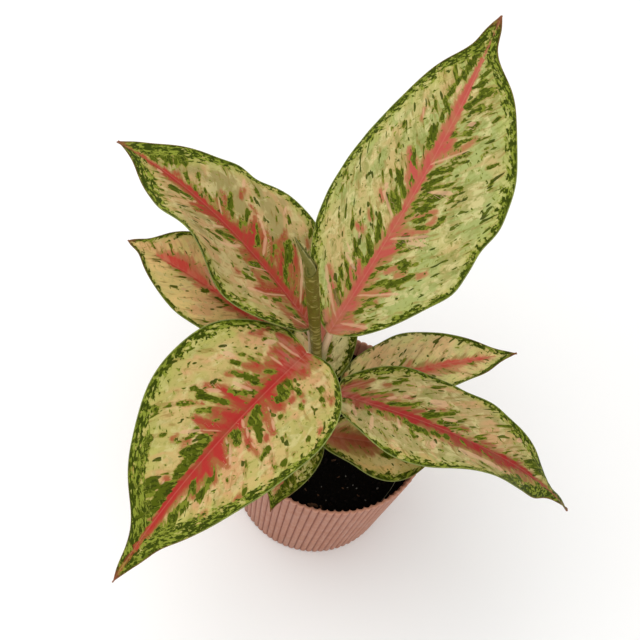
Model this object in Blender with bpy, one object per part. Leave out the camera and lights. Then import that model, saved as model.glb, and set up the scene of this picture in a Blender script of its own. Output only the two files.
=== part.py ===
"""Potted Chinese evergreen (Aglaonema).

A ribbed plastic pot full of potting mix, a short leaning cane that stands in a hole in the mix, nine waved
leaves on arching petioles, and a spear: the sheath of the newest petiole with the next leaf rolled up in it.
Metres, +Z up. The origin is the middle of the pot's flat underside and the front of the plant faces -Y.
"""
import math

import bmesh
import bpy
from mathutils import Matrix, Vector, noise

GAP = 0.0003

# Pot: a thin wall folded into upright ribs, with a plain flat underside.
POT_HEIGHT = 0.103
RIM_RADIUS = 0.060
BASE_RADIUS = 0.0528
WALL = 0.0017
FLOOR = 0.0025
RIB_COUNT = 80
RIB_DEPTH = 0.0009
RIM_BAND = 0.0025
DRAIN_COUNT = 6
DRAIN_RADIUS = 0.004
DRAIN_CIRCLE = 0.032

# Potting mix: it fills the pot to a little below the rim.
SOIL_TOP = 0.089
SOIL_LUMP = 0.0022
SOIL_COLUMNS = 40
SOIL_RINGS = 11

# Cane: it leans a little, and its foot stands in a plain hole in the mix.
CANE_FOOT = Vector((-0.0075, 0.008, 0.050))
CANE_TOP = Vector((-0.0215, 0.008, 0.150))
CANE_FOOT_RADIUS = 0.0066
CANE_TOP_RADIUS = 0.0050
CANE_SIDES = 16
NODE_SPACING = 0.0125
NODE_SWELL = 0.0006

# Spear: the sheath stands on the cane's top, and the rolled leaf stands in the sheath's mouth.
SHEATH_TOP = Vector((-0.0405, 0.0130, 0.239))
SHEATH_FOOT_RADIUS = 0.0031
SHEATH_TOP_RADIUS = 0.0039
SHEATH_WALL = 0.0009
SHEATH_MOUTH_DEPTH = 0.026
SHEATH_MOUTH_SLANT = math.radians(38)
ROLL_TIP = Vector((-0.0515, 0.0105, 0.262))

# Leaves. Each blade starts where its petiole ends and runs off at a heading, counted from +X toward +Y.
# rise is the slope of the midrib at the base and droop what it loses by the tip; swing turns the heading
# on the way, roll tips the whole blade and twist adds to that by the tip. fold lifts both halves out of
# the midrib, curl turns their edges back down. pinch narrows the last stretch to a drip tip: how much, where
# and over what share of the length. lobe draws
# the base back round the petiole. left and right are the edge waves: height and phase, for waves of them.
# socket is the height on the cane that the petiole leaves from. swells widen the blade by a little here and there:
# station, spread, and how much on the left and on the right. Lengths in millimetres, angles in degrees.
LEAVES = {
    "leaf_back": dict(
        base=(-21, 12.5, 181), heading=76.5, rise=34, droop=11, swing=13, roll=-16, twist=-4.5,
        length=203, width=104, shoulder=0.83, taper=1.18, pinch=(0.45, 0.91, 0.07), lobe=4, fold=6, curl=0.16,
        waves=1.2, left=(4.5, 0.17), right=(3.0, 0.1), socket=137,
        swells=[(54, 10, 0, 2.6), (80, 9, 0, -2), (96, 9, 0, 1), (114, 19, 0, 1.9), (141, 10, -1, 0), (174, 11, 1.8, -1.5),
                (190, 9, 1.2, 0)]),
    "leaf_back_left": dict(
        base=(-31.5, 18, 171), heading=157.5, rise=26, droop=31.5, swing=12, roll=15, twist=2.5,
        length=155.5, width=87, shoulder=0.70, taper=1.16, pinch=(0.09, 0.91, 0.08), lobe=3, fold=17, curl=0.05,
        waves=2.03, left=(6.5, 0.18), right=(2.5, 0.58), socket=125,
        swells=[(40, 13, 0, 1.9), (83, 7, -0.8, -1.3), (96, 8, 0, 1.7), (104, 9, 1.3, 0), (128, 12, 0.7, 0.6),
                (148, 9, 1, 1.8)]),
    "leaf_left": dict(
        base=(-42, 10.8, 155), heading=171, rise=16.5, droop=23, swing=1, roll=1.5, twist=1,
        length=111.5, width=65, shoulder=0.71, taper=1.00, pinch=(0.30, 0.92, 0.07), lobe=5, fold=18, curl=0.03,
        waves=1.86, left=(1.9, 0.62), right=(1.9, 0.7), socket=112, swells=[(92, 12, -0.9, 0)]),
    "leaf_front": dict(
        base=(-28, -2.5, 178), heading=-109, rise=10.5, droop=49.5, swing=5, roll=0.5, twist=10.5,
        length=165.5, width=97.5, shoulder=0.61, taper=1.23, pinch=(0.42, 0.85, 0.10), lobe=5.5, fold=18.5,
        curl=0.03, waves=0.9, left=(3.2, 0.83), right=(5.0, 0.03), socket=126,
        swells=[(72, 30, 0, 1.3), (130, 10, 2.6, 0), (143, 9, 2.2, 0), (150, 8, 0, -1)]),
    "leaf_right": dict(
        base=(-4.5, -8.5, 157), heading=-1, rise=13.5, droop=68, swing=3.5, roll=-13, twist=-8,
        length=166, width=66, shoulder=0.62, taper=1.22, pinch=(0.46, 0.89, 0.08), lobe=5, fold=14, curl=0.07,
        waves=1.99, left=(2.6, 0.04), right=(7.2, 0.18), socket=113,
        swells=[(105, 22, 1.5, 0), (118, 14, 0, -3.6), (128, 10, 1.2, 0), (138, 8, 0.6, -1.6), (153, 7, 1.3, 0.8)]),
    "leaf_back_right": dict(
        base=(-1, 10, 130), heading=31, rise=21.5, droop=21, swing=-1, roll=-2, twist=-4.5,
        length=106, width=48, shoulder=0.63, taper=1.18, pinch=(0.32, 0.90, 0.09), lobe=5, fold=17, curl=0.05,
        waves=1.06, left=(1.7, 0.72), right=(1.4, 0.58), socket=103,
        swells=[(27, 10, -1.5, 0), (86, 12, 0, 3), (93, 11, 1.2, 0)]),
    "leaf_low_right": dict(
        base=(-9, -21.5, 122), heading=11, rise=8, droop=22, swing=9, roll=-7, twist=-2,
        length=82, width=46, shoulder=0.93, taper=0.80, pinch=(0.36, 0.88, 0.10), lobe=5, fold=8, curl=0.10,
        waves=1.72, left=(1.2, 0.35), right=(4.5, 0.73), socket=109, swells=[(6, 6, 0, -1.5), (34, 9, 0, 2)]),
    "leaf_low_front": dict(
        base=(-12.5, -13, 109.5), heading=-96, rise=14, droop=30, swing=9, roll=3, twist=1,
        length=61, width=33, shoulder=0.63, taper=1.09, pinch=(0.23, 0.92, 0.08), lobe=5, fold=12.5, curl=0.09,
        waves=2.4, left=(0.8, 0.33), right=(1.2, 0.6), socket=97, swells=[]),
    "leaf_low_back": dict(
        base=(-16, 18, 112), heading=113, rise=12, droop=22, swing=-6, roll=0, twist=0,
        length=98, width=46, shoulder=0.62, taper=1.15, pinch=(0.30, 0.92, 0.07), lobe=4, fold=12, curl=0.04,
        waves=2.2, left=(1.8, 0.2), right=(1.6, 0.5), socket=99, swells=[]),
}
LEAF_ROWS = 20
LEAF_COLUMNS = 8
DROOP_POWER = 1.6
SWING_POWER = 1.5
MIDRIB_THICKNESS = 0.0017
EDGE_SHARE = 0.47
PETIOLE_SIDES = 8
PETIOLE_ROWS = 11
PETIOLE_FOOT_RADIUS = 0.0036
PETIOLE_RADIUS = 0.0021
PETIOLE_BOW = 0.12
PETIOLE_TAIL = 0.13


def material(name, colour, roughness):
    """Return a plain Principled material."""
    mat = bpy.data.materials.new(name)
    mat.use_nodes = True
    shader = mat.node_tree.nodes["Principled BSDF"]
    shader.inputs["Base Color"].default_value = (*colour, 1.0)
    shader.inputs["Roughness"].default_value = roughness
    shader.inputs["Metallic"].default_value = 0.0
    return mat


def add_object(name, bm, mat):
    """Turn a bmesh into a named, smooth object with outward faces."""
    bmesh.ops.recalc_face_normals(bm, faces=bm.faces[:])
    mesh = bpy.data.meshes.new(name)
    bm.to_mesh(mesh)
    bm.free()
    mesh.materials.append(mat)
    mesh.shade_smooth()
    mesh.set_sharp_from_angle(angle=math.radians(40))
    obj = bpy.data.objects.new(name, mesh)
    bpy.context.scene.collection.objects.link(obj)
    return obj


def add_cylinder(name, radius, foot, top, sides):
    """Return a cylinder from foot to top, as a tool for a Boolean."""
    bm = bmesh.new()
    bmesh.ops.create_cone(
        bm, cap_ends=True, segments=sides, radius1=radius, radius2=radius, depth=(top - foot).length)
    turn = (top - foot).to_track_quat("Z", "Y").to_matrix().to_4x4()
    bmesh.ops.transform(bm, matrix=Matrix.Translation((foot + top) / 2) @ turn, verts=bm.verts[:])
    return add_object(name, bm, TOOL_MATERIAL)


def apply_boolean(obj, tool, operation):
    """Cut or join obj with tool, bake the result into obj's mesh and remove the tool."""
    boolean = obj.modifiers.new(operation.title(), "BOOLEAN")
    boolean.operation = operation
    boolean.solver = "EXACT"
    boolean.object = tool
    bpy.context.view_layer.update()
    depsgraph = bpy.context.evaluated_depsgraph_get()
    mesh = bpy.data.meshes.new_from_object(obj.evaluated_get(depsgraph))
    mesh.name = obj.name
    obj.modifiers.clear()
    obj.data = mesh
    bpy.data.objects.remove(tool, do_unlink=True)


def loft(rings, closed_start=True, closed_end=True):
    """Skin a list of equal rings of points and cap its ends."""
    bm = bmesh.new()
    loops = [[bm.verts.new(point) for point in ring] for ring in rings]
    count = len(loops[0])
    for lower, upper in zip(loops, loops[1:]):
        for i in range(count):
            j = (i + 1) % count
            bm.faces.new((lower[i], lower[j], upper[j], upper[i]))
    if closed_start:
        bm.faces.new(loops[0][::-1])
    if closed_end:
        bm.faces.new(loops[-1])
    return bm


def rib_ring(radius, height):
    """Return a ring folded into ribs: crests at radius, grooves one rib depth inside it."""
    points = []
    for i in range(RIB_COUNT * 4):
        angle = math.tau * i / (RIB_COUNT * 4)
        swell = abs(math.cos(angle * RIB_COUNT / 2))
        reach = radius - RIB_DEPTH * (1 - swell)
        points.append((reach * math.cos(angle), reach * math.sin(angle), height))
    return points


def outer_radius(height):
    """Return the pot's crest radius at a height."""
    return BASE_RADIUS + (RIM_RADIUS - BASE_RADIUS) * height / POT_HEIGHT


def make_pot():
    """Ribbed cup with a flat floor, pierced by a ring of drainage holes."""
    rings = [
        rib_ring(outer_radius(0) - 0.0008, 0),
        rib_ring(outer_radius(0.0008), 0.0008),
        rib_ring(outer_radius(POT_HEIGHT - RIM_BAND), POT_HEIGHT - RIM_BAND),
        rib_ring(RIM_RADIUS, POT_HEIGHT - 0.0004),
        rib_ring(RIM_RADIUS - WALL / 2, POT_HEIGHT),
        rib_ring(RIM_RADIUS - WALL, POT_HEIGHT - 0.0004),
        rib_ring(outer_radius(FLOOR) - WALL, FLOOR),
    ]
    pot = add_object("pot", loft(rings), material("pot_plastic", (0.60, 0.29, 0.24), 0.5))
    for i in range(DRAIN_COUNT):
        angle = math.tau * i / DRAIN_COUNT
        spot = Vector((DRAIN_CIRCLE * math.cos(angle), DRAIN_CIRCLE * math.sin(angle), 0))
        drain = add_cylinder("drain", DRAIN_RADIUS, spot - Vector((0, 0, 0.002)), spot + Vector((0, 0, 0.006)), 12)
        apply_boolean(pot, drain, "DIFFERENCE")
    return pot


def soil_height(x, y):
    """Return the lumpy surface of the potting mix."""
    coarse = noise.noise(Vector((x, y, 0)) * 55)
    fine = noise.noise(Vector((x, y, 0.3)) * 160)
    return SOIL_TOP + SOIL_LUMP * (coarse + 0.6 * fine)


def make_soil():
    """Plug of potting mix that fills the pot, with a plain hole for the cane."""
    inner_groove = WALL + RIB_DEPTH + GAP
    foot_radius = outer_radius(FLOOR) - inner_groove
    top_radius = outer_radius(SOIL_TOP) - inner_groove
    rings = []
    turns = [math.tau * i / SOIL_COLUMNS for i in range(SOIL_COLUMNS)]
    rings.append([(foot_radius * math.cos(a), foot_radius * math.sin(a), FLOOR + GAP) for a in turns])
    for ring in range(SOIL_RINGS):
        radius = top_radius * (1 - ring / SOIL_RINGS)
        circle = [(radius * math.cos(a), radius * math.sin(a)) for a in turns]
        rings.append([(x, y, soil_height(x, y)) for x, y in circle])
    soil = add_object("soil", loft(rings), material("potting_mix", (0.018, 0.013, 0.011), 0.95))
    hole_foot = CANE_FOOT - (CANE_TOP - CANE_FOOT).normalized() * GAP
    hole = add_cylinder("hole", CANE_FOOT_RADIUS + NODE_SWELL + GAP, hole_foot, CANE_TOP, CANE_SIDES * 2)
    apply_boolean(soil, hole, "DIFFERENCE")
    return soil


def tube_rings(path, radii, sides):
    """Return rings of points square to a path, turned as little as possible on the way."""
    rings = []
    side = None
    for i, point in enumerate(path):
        ahead = path[min(i + 1, len(path) - 1)] - path[max(i - 1, 0)]
        ahead.normalize()
        if side is None:
            side = ahead.orthogonal().normalized()
        side = (side - ahead * side.dot(ahead)).normalized()
        across = ahead.cross(side)
        turns = [math.tau * k / sides for k in range(sides)]
        rings.append([point + radii[i] * (side * math.cos(a) + across * math.sin(a)) for a in turns])
    return rings


def cane_skin(grow):
    """Return the cane's surface, swollen at each old leaf scar and grown outward by a margin."""
    length = (CANE_TOP - CANE_FOOT).length
    shares = []
    swells = []
    for i in range(int(length / NODE_SPACING) + 1):
        for step, swell in ((0, 0), (0.70, 0), (0.85, 1)):
            share = (i + step) * NODE_SPACING / length
            if share < 1:
                shares.append(share)
                swells.append(swell)
    path = [CANE_FOOT.lerp(CANE_TOP, share) for share in shares]
    taper = CANE_TOP_RADIUS - CANE_FOOT_RADIUS
    radii = [CANE_FOOT_RADIUS + taper * share + NODE_SWELL * swell + grow for share, swell in zip(shares, swells)]
    path.append(CANE_TOP + (CANE_TOP - CANE_FOOT).normalized() * grow)
    radii.append(CANE_TOP_RADIUS + grow)
    return loft(tube_rings(path, radii, CANE_SIDES))


def make_cane():
    """Short leaning cane with a ring at each old leaf scar."""
    return add_object("cane", cane_skin(0), material("cane_skin", (0.24, 0.25, 0.09), 0.55))


def make_sheath():
    """Hollow-mouthed sheath of the newest petiole: it stands on the cane and its mouth is cut aslant."""
    axis = (SHEATH_TOP - CANE_TOP).normalized()
    tilt = axis.angle(CANE_TOP - CANE_FOOT)
    foot = CANE_TOP + axis * (GAP + CANE_TOP_RADIUS * math.tan(tilt))
    path = [foot.lerp(SHEATH_TOP, i / 6) for i in range(7)]
    radii = [SHEATH_FOOT_RADIUS + (SHEATH_TOP_RADIUS - SHEATH_FOOT_RADIUS) * i / 6 for i in range(7)]
    sheath = add_object("spear_sheath", loft(tube_rings(path, radii, 14)), material("sheath", (0.26, 0.27, 0.10), 0.5))
    bore_foot = SHEATH_TOP - axis * SHEATH_MOUTH_DEPTH
    bore = add_cylinder("bore", SHEATH_TOP_RADIUS - SHEATH_WALL, bore_foot, SHEATH_TOP + axis * 0.01, 14)
    apply_boolean(sheath, bore, "DIFFERENCE")
    bm = bmesh.new()
    bmesh.ops.create_cube(bm, size=0.03)
    slant = Matrix.Rotation(SHEATH_MOUTH_SLANT, 4, "Y")
    lean = axis.to_track_quat("Z", "Y").to_matrix().to_4x4()
    place = Matrix.Translation(SHEATH_TOP - axis * 0.004) @ lean @ slant @ Matrix.Translation((0, 0, 0.015))
    bmesh.ops.transform(bm, matrix=place, verts=bm.verts[:])
    apply_boolean(sheath, add_object("slant", bm, TOOL_MATERIAL), "DIFFERENCE")
    return sheath


def make_rolled_leaf():
    """The next leaf, still rolled to a point, standing in the sheath's bore."""
    axis = (SHEATH_TOP - CANE_TOP).normalized()
    foot = SHEATH_TOP - axis * (SHEATH_MOUTH_DEPTH - GAP)
    mouth_radius = SHEATH_TOP_RADIUS - SHEATH_WALL - GAP
    path = []
    radii = []
    for i in range(12):
        t = i / 11
        straight = foot.lerp(SHEATH_TOP, min(t * 2, 1))
        path.append(straight.lerp(ROLL_TIP, max(t * 2 - 1, 0)))
        radii.append(mouth_radius * (1 - max(t * 2 - 1, 0) ** 1.6 * 0.9))
    bm = loft(tube_rings(path, radii, 10))
    return add_object("rolled_leaf", bm, material("rolled_blade", (0.33, 0.36, 0.14), 0.45))


def leaf_width(leaf, t, on_left):
    """Return the width of one half of a blade at a share t of its length."""
    peak = leaf["shoulder"] / (leaf["shoulder"] + leaf["taper"])
    outline = (t / peak) ** leaf["shoulder"] * ((1 - t) / (1 - peak)) ** leaf["taper"]
    depth, place, spread = leaf["pinch"]
    outline *= 1 - depth * math.exp(-((t - place) / spread) ** 2)
    half = max(leaf["width"] / 2 * outline, 1.2 - 0.8 * t)
    for station, spread, left, right in leaf["swells"]:
        half += (left if on_left else right) * math.exp(-((t * leaf["length"] - station) / spread) ** 2)
    return half


def leaf_frames(leaf, rows):
    """Return point, direction, side and normal of the midrib at each of rows + 1 stations, in mm."""
    frames = []
    point = Vector(leaf["base"])
    for i in range(rows + 1):
        t = i / rows
        before = max(i - 0.5, 0) / rows
        for share in (before, t):
            heading = math.radians(leaf["heading"] + leaf["swing"] * share ** SWING_POWER)
            slope = math.radians(leaf["rise"] - leaf["droop"] * share ** DROOP_POWER)
            ahead = Vector((math.cos(slope) * math.cos(heading), math.cos(slope) * math.sin(heading), math.sin(slope)))
            if share == before and i:
                point = point + ahead * (leaf["length"] / rows)
        level = Vector((-math.sin(heading), math.cos(heading), 0))
        up = ahead.cross(level)
        roll = math.radians(leaf["roll"] + leaf["twist"] * t)
        side = level * math.cos(roll) + up * math.sin(roll)
        normal = up * math.cos(roll) - level * math.sin(roll)
        frames.append((point.copy(), ahead, side, normal))
    return frames


def blade_point(leaf, frame, t, across):
    """Return a point of the blade's upper face: across runs from -1, the right edge, to 1, the left."""
    point, ahead, side, normal = frame
    half = leaf_width(leaf, t, across > 0)
    fold = math.radians(leaf["fold"])
    height, phase = leaf["left"] if across > 0 else leaf["right"]
    wave = height * math.sqrt(math.sin(math.pi * t)) * math.sin(math.tau * (leaf["waves"] * t + phase))
    lift = abs(across) * half * math.sin(fold) + across ** 2 * (wave - leaf["curl"] * half)
    back = leaf["lobe"] * across ** 2 * (1 - t) ** 6 * min(1, half / (leaf["width"] / 6))
    return point + side * (across * half * math.cos(fold)) + normal * lift - ahead * back


def make_blade(name, leaf, mat):
    """Blade as a grid bent to shape and thickened downward, thickest along the midrib."""
    bm = bmesh.new()
    bmesh.ops.create_grid(bm, x_segments=LEAF_ROWS, y_segments=LEAF_COLUMNS, size=1)
    frames = leaf_frames(leaf, LEAF_ROWS)
    weights = []
    for vert in bm.verts:
        row = round((vert.co.x + 1) / 2 * LEAF_ROWS)
        across = vert.co.y
        t = row / LEAF_ROWS
        vert.co = blade_point(leaf, frames[row], t, across) * 0.001
        weights.append(EDGE_SHARE + (1 - EDGE_SHARE) * (1 - abs(across)) ** 3 * (1 - t))
    bmesh.ops.triangulate(bm, faces=bm.faces[:], quad_method="FIXED")
    blade = add_object(name, bm, mat)
    group = blade.vertex_groups.new(name="thickness")
    for index, weight in enumerate(weights):
        group.add([index], weight, "REPLACE")
    solid = blade.modifiers.new("Solidify", "SOLIDIFY")
    solid.thickness = MIDRIB_THICKNESS
    solid.offset = -1
    solid.vertex_group = "thickness"
    solid.thickness_vertex_group = 0
    return blade


def make_petiole(name, leaf, mat):
    """Petiole from inside the cane, up and over into the underside of the blade's midrib."""
    base, ahead, _, normal = leaf_frames(leaf, 1)[0]
    base = base * 0.001 - normal * 0.0016
    share = (leaf["socket"] * 0.001 - CANE_FOOT.z) / (CANE_TOP.z - CANE_FOOT.z)
    root = CANE_FOOT.lerp(CANE_TOP, share)
    reach = (base - root).length
    outward = Vector((base.x - root.x, base.y - root.y, 0)).normalized()
    leave = root + (base - root) * 0.25 + outward * PETIOLE_BOW * reach
    arrive = base - (ahead * 0.45 + Vector((0, 0, 0.55))).normalized() * reach * 0.35
    path = []
    radii = []
    for i in range(PETIOLE_ROWS):
        t = i / (PETIOLE_ROWS - 1)
        path.append(
            root * (1 - t) ** 3 + leave * 3 * t * (1 - t) ** 2 + arrive * 3 * t ** 2 * (1 - t) + base * t ** 3)
        radii.append(PETIOLE_RADIUS + (PETIOLE_FOOT_RADIUS - PETIOLE_RADIUS) * (1 - t) ** 1.5)
    frames = leaf_frames(leaf, LEAF_ROWS)
    for row in range(1, int(PETIOLE_TAIL * LEAF_ROWS) + 1):
        point, _, _, down = frames[row]
        share = row / (PETIOLE_TAIL * LEAF_ROWS)
        radii.append(PETIOLE_RADIUS * (1 - 0.55 * share))
        path.append(point * 0.001 - down * (radii[-1] + 0.0001))
    return add_object(name, loft(tube_rings(path, radii, PETIOLE_SIDES)), mat)


def drop_scraps(obj):
    """Keep only the largest body of a mesh, without the slivers that a cut leaves beside it."""
    bm = bmesh.new()
    bm.from_mesh(obj.data)
    loose = set(bm.verts)
    bodies = []
    while loose:
        body = {loose.pop()}
        front = list(body)
        while front:
            vert = front.pop()
            for edge in vert.link_edges:
                other = edge.other_vert(vert)
                if other not in body:
                    body.add(other)
                    front.append(other)
        loose -= body
        bodies.append(body)
    bodies.sort(key=len)
    bmesh.ops.delete(bm, geom=[vert for body in bodies[:-1] for vert in body], context="VERTS")
    bm.to_mesh(obj.data)
    bm.free()


def make_leaf(name, leaf):
    """One leaf: blade and petiole grown together, its foot cut to lie against the cane."""
    mat = material(name + "_skin", (0.52, 0.44, 0.22), 0.42)
    blade = make_blade(name, leaf, mat)
    apply_boolean(blade, make_petiole(name + "_petiole", leaf, mat), "UNION")
    apply_boolean(blade, add_object("seat", cane_skin(GAP), TOOL_MATERIAL), "DIFFERENCE")
    beside = add_cylinder("beside", SHEATH_TOP_RADIUS + GAP, CANE_TOP, SHEATH_TOP, CANE_SIDES * 2)
    apply_boolean(blade, beside, "DIFFERENCE")
    drop_scraps(blade)
    return blade


for leftover in list(bpy.data.objects):
    bpy.data.objects.remove(leftover, do_unlink=True)
TOOL_MATERIAL = material("tool", (0.5, 0.5, 0.5), 0.5)
make_pot()
make_soil()
make_cane()
make_sheath()
make_rolled_leaf()
for leaf_name, leaf_values in LEAVES.items():
    make_leaf(leaf_name, leaf_values)
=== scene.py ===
import math
import random

import bpy
import numpy as np
from mathutils import Matrix, Vector, noise


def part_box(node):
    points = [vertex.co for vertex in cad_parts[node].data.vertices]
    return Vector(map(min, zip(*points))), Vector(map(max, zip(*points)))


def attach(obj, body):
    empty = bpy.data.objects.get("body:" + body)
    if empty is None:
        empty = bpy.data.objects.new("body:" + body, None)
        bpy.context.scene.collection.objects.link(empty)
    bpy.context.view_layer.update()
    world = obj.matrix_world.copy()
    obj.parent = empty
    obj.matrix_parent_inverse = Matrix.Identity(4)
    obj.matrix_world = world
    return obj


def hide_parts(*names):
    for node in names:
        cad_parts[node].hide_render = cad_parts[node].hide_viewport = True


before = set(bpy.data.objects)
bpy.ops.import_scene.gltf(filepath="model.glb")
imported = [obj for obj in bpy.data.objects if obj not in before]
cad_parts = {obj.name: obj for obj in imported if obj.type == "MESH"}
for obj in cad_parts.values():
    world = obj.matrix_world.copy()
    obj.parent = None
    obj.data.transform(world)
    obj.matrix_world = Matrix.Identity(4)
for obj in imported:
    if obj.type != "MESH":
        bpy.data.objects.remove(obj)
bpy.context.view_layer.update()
for leftover in list(bpy.context.selected_objects):
    leftover.select_set(False)


# Pot: a thin moulded cup of dusty pink plastic, its wall folded into eighty upright ribs that run over the
# rim, with a flat underside on a low foot ring and six drainage holes.
_, pot_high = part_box("pot")
POT_HEIGHT = pot_high.z
RIM_RADIUS = pot_high.x
FOOT_RADIUS = 0.0528
WALL = 0.0017
FLOOR = 0.0025
RIBS = 80
RIB_STEPS = 10
RIB_DEPTH = 0.0010
RIB_SHARPNESS = 0.62
RIM_COLLAR = 0.0026
RIM_ROUND = 0.0006
RIM_CURVE = 0.00015
RIM_EDGE = 0.0003
FOOT_ROUND = 0.0008
FOOT_RING = 0.86
FOOT_RISE = 0.0006
DRAINS = 6
DRAIN_RADIUS = 0.004
DRAIN_CIRCLE = 0.032
SMOOTH_RIB = 50


def place(tree, kind, inputs=None, **settings):
    """Place a shader node. A socket takes a plain value, or is wired to another node's output."""
    node = tree.nodes.new("ShaderNode" + kind)
    for name, value in settings.items():
        setattr(node, name, value)
    for name, value in (inputs or {}).items():
        if isinstance(value, bpy.types.NodeSocket):
            tree.links.new(value, node.inputs[name])
        else:
            node.inputs[name].default_value = value
    return node


def reckon(tree, operation, first, second=0.0, clamp=False):
    """One Math node."""
    return place(tree, "Math", {0: first, 1: second}, operation=operation, use_clamp=clamp).outputs[0]


def plus(tree, first, second):
    """Their sum."""
    return reckon(tree, "ADD", first, second)


def minus(tree, first, second):
    """The first less the second."""
    return reckon(tree, "SUBTRACT", first, second)


def times(tree, first, second):
    """Their product."""
    return reckon(tree, "MULTIPLY", first, second)


def step(tree, value, low, high, start=0.0, end=1.0):
    """A smooth step from start to end while value goes from low to high."""
    ends = {"Value": value, "From Min": low, "From Max": high, "To Min": start, "To Max": end}
    return place(tree, "MapRange", ends, interpolation_type="SMOOTHSTEP").outputs[0]


def tint(tree, mask, under, top):
    """One colour laid over another where the mask says so."""
    under, top = ((*colour, 1) if isinstance(colour, tuple) else colour for colour in (under, top))
    return place(tree, "Mix", {0: mask, 6: under, 7: top}, data_type="RGBA").outputs[2]


def over(tree, mask, amount, under, top):
    """The same at part of the mask's strength."""
    return tint(tree, times(tree, mask, amount), under, top)


def grain(tree, vector, scale, detail=2.0, rough=0.5, distortion=0.0):
    """A noise over the surface."""
    look = {"Scale": scale, "Detail": detail, "Roughness": rough, "Distortion": distortion}
    return place(tree, "TexNoise", {"Vector": vector, **look}).outputs["Fac"]


def stretched(tree, vector, x, y, z):
    """The same surface coordinates, stretched."""
    return place(tree, "VectorMath", {0: vector, 1: (x, y, z)}, operation="MULTIPLY").outputs[0]


def read(tree, name):
    """The number that mark wrote at each vertex."""
    return place(tree, "Attribute", attribute_name=name).outputs["Fac"]


def finish_of(name, shine=0.5):
    """A new material: its node tree, its shader and the place on the piece."""
    material = bpy.data.materials.new(name)
    material.use_nodes = True
    tree = material.node_tree
    shader = tree.nodes["Principled BSDF"]
    shader.inputs["Specular IOR Level"].default_value = shine
    return material, tree, shader, place(tree, "TexCoord").outputs["Object"]


def shade(tree, shader, colour=None, rough=None, height=None, lift=0.0002):
    """Wire colour, roughness and a bump into a shader."""
    if colour is not None:
        tree.links.new(colour, shader.inputs["Base Color"])
    if rough is not None:
        tree.links.new(rough, shader.inputs["Roughness"])
    if height is not None:
        bump = place(tree, "Bump", {"Strength": 1.0, "Distance": lift, "Height": height})
        tree.links.new(bump.outputs["Normal"], shader.inputs["Normal"])


def mark(piece, name, values):
    """Write one number for each vertex of a piece, for its material to read."""
    attribute = piece.data.attributes.new(name, "FLOAT", "POINT")
    attribute.data.foreach_set("value", np.asarray(values, np.float32))


def points_of(piece):
    """The places of a piece's vertices as an array."""
    places = np.zeros(len(piece.data.vertices) * 3)
    piece.data.vertices.foreach_get("co", places)
    return places.reshape(-1, 3)


def set_points(piece, places):
    """Move a piece's vertices."""
    piece.data.vertices.foreach_set("co", np.asarray(places).ravel())
    piece.data.update()


def begin(name):
    """Name the primitive that was just added and open it for editing."""
    piece = bpy.context.object
    piece.name = name
    piece.data.name = name
    bpy.ops.object.mode_set(mode="EDIT")
    return piece


def draw_ring(rise, scale):
    """Extrude the open ring or face and size it."""
    bpy.ops.mesh.extrude_region_move(TRANSFORM_OT_translate={"value": (0, 0, rise)})
    bpy.ops.transform.resize(value=(scale, scale, 1))


def close_up(piece, smooth=35):
    """Leave edit mode with a piece's place in its mesh and soft shading."""
    bpy.ops.object.mode_set(mode="OBJECT")
    bpy.ops.object.transform_apply(location=True, rotation=True, scale=True)
    bpy.ops.object.shade_smooth_by_angle(angle=math.radians(smooth))
    piece.select_set(False)


def fix_on(piece, node, slot, *materials):
    """A piece rides on the plant, stands for its solid and takes its finish."""
    piece.data.materials.clear()
    for material in materials:
        piece.data.materials.append(material)
    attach(piece, "root")
    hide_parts(node)


def wall_radius(height):
    """The crest radius of the outer wall at a height."""
    return FOOT_RADIUS + (RIM_RADIUS - FOOT_RADIUS) * height / POT_HEIGHT


def rib_crest(places):
    """How near the crest of a rib each point lies: 1 on it, 0 in the groove beside it."""
    turn = np.arctan2(places[:, 1], places[:, 0])
    return np.abs(np.cos(turn * RIBS / 2)) ** RIB_SHARPNESS


bpy.ops.mesh.primitive_circle_add(
    vertices=RIBS * RIB_STEPS, radius=FOOT_RADIUS - FOOT_ROUND, fill_type="NGON")
pot = bpy.context.object
outline = points_of(pot)
outline[:, :2] *= (1 - RIB_DEPTH * (1 - rib_crest(outline)) / FOOT_RADIUS)[:, None]
set_points(pot, outline)
begin("ribbed_pot")
bpy.ops.mesh.select_all(action="SELECT")
outer_heights = (FOOT_ROUND, 0.004, 0.02, 0.045, 0.07, 0.09, POT_HEIGHT - RIM_COLLAR)
inner_heights = (0.09, 0.05, FLOOR)
pot_levels = [(height, wall_radius(height)) for height in outer_heights]
pot_levels += [
    (POT_HEIGHT - RIM_ROUND, RIM_RADIUS), (POT_HEIGHT - RIM_CURVE, RIM_RADIUS - RIM_EDGE),
    (POT_HEIGHT, RIM_RADIUS - WALL / 2),
    (POT_HEIGHT - RIM_CURVE, RIM_RADIUS - WALL + RIM_EDGE), (POT_HEIGHT - RIM_ROUND, RIM_RADIUS - WALL)]
pot_levels += [(height, wall_radius(height) - WALL) for height in inner_heights]
level, reach = 0.0, FOOT_RADIUS - FOOT_ROUND
for next_level, next_reach in pot_levels:
    draw_ring(next_level - level, next_reach / reach)
    level, reach = next_level, next_reach
bpy.ops.object.mode_set(mode="OBJECT")
for face in pot.data.polygons:
    face.select = len(face.vertices) > 4 and face.center.z < FLOOR / 2
bpy.ops.object.mode_set(mode="EDIT")
bpy.ops.mesh.select_mode(type="FACE")
draw_ring(0, FOOT_RING)
draw_ring(FOOT_RISE, 0.99)
bpy.ops.mesh.select_all(action="SELECT")
bpy.ops.mesh.normals_make_consistent(inside=False)
close_up(pot, SMOOTH_RIB)
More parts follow.
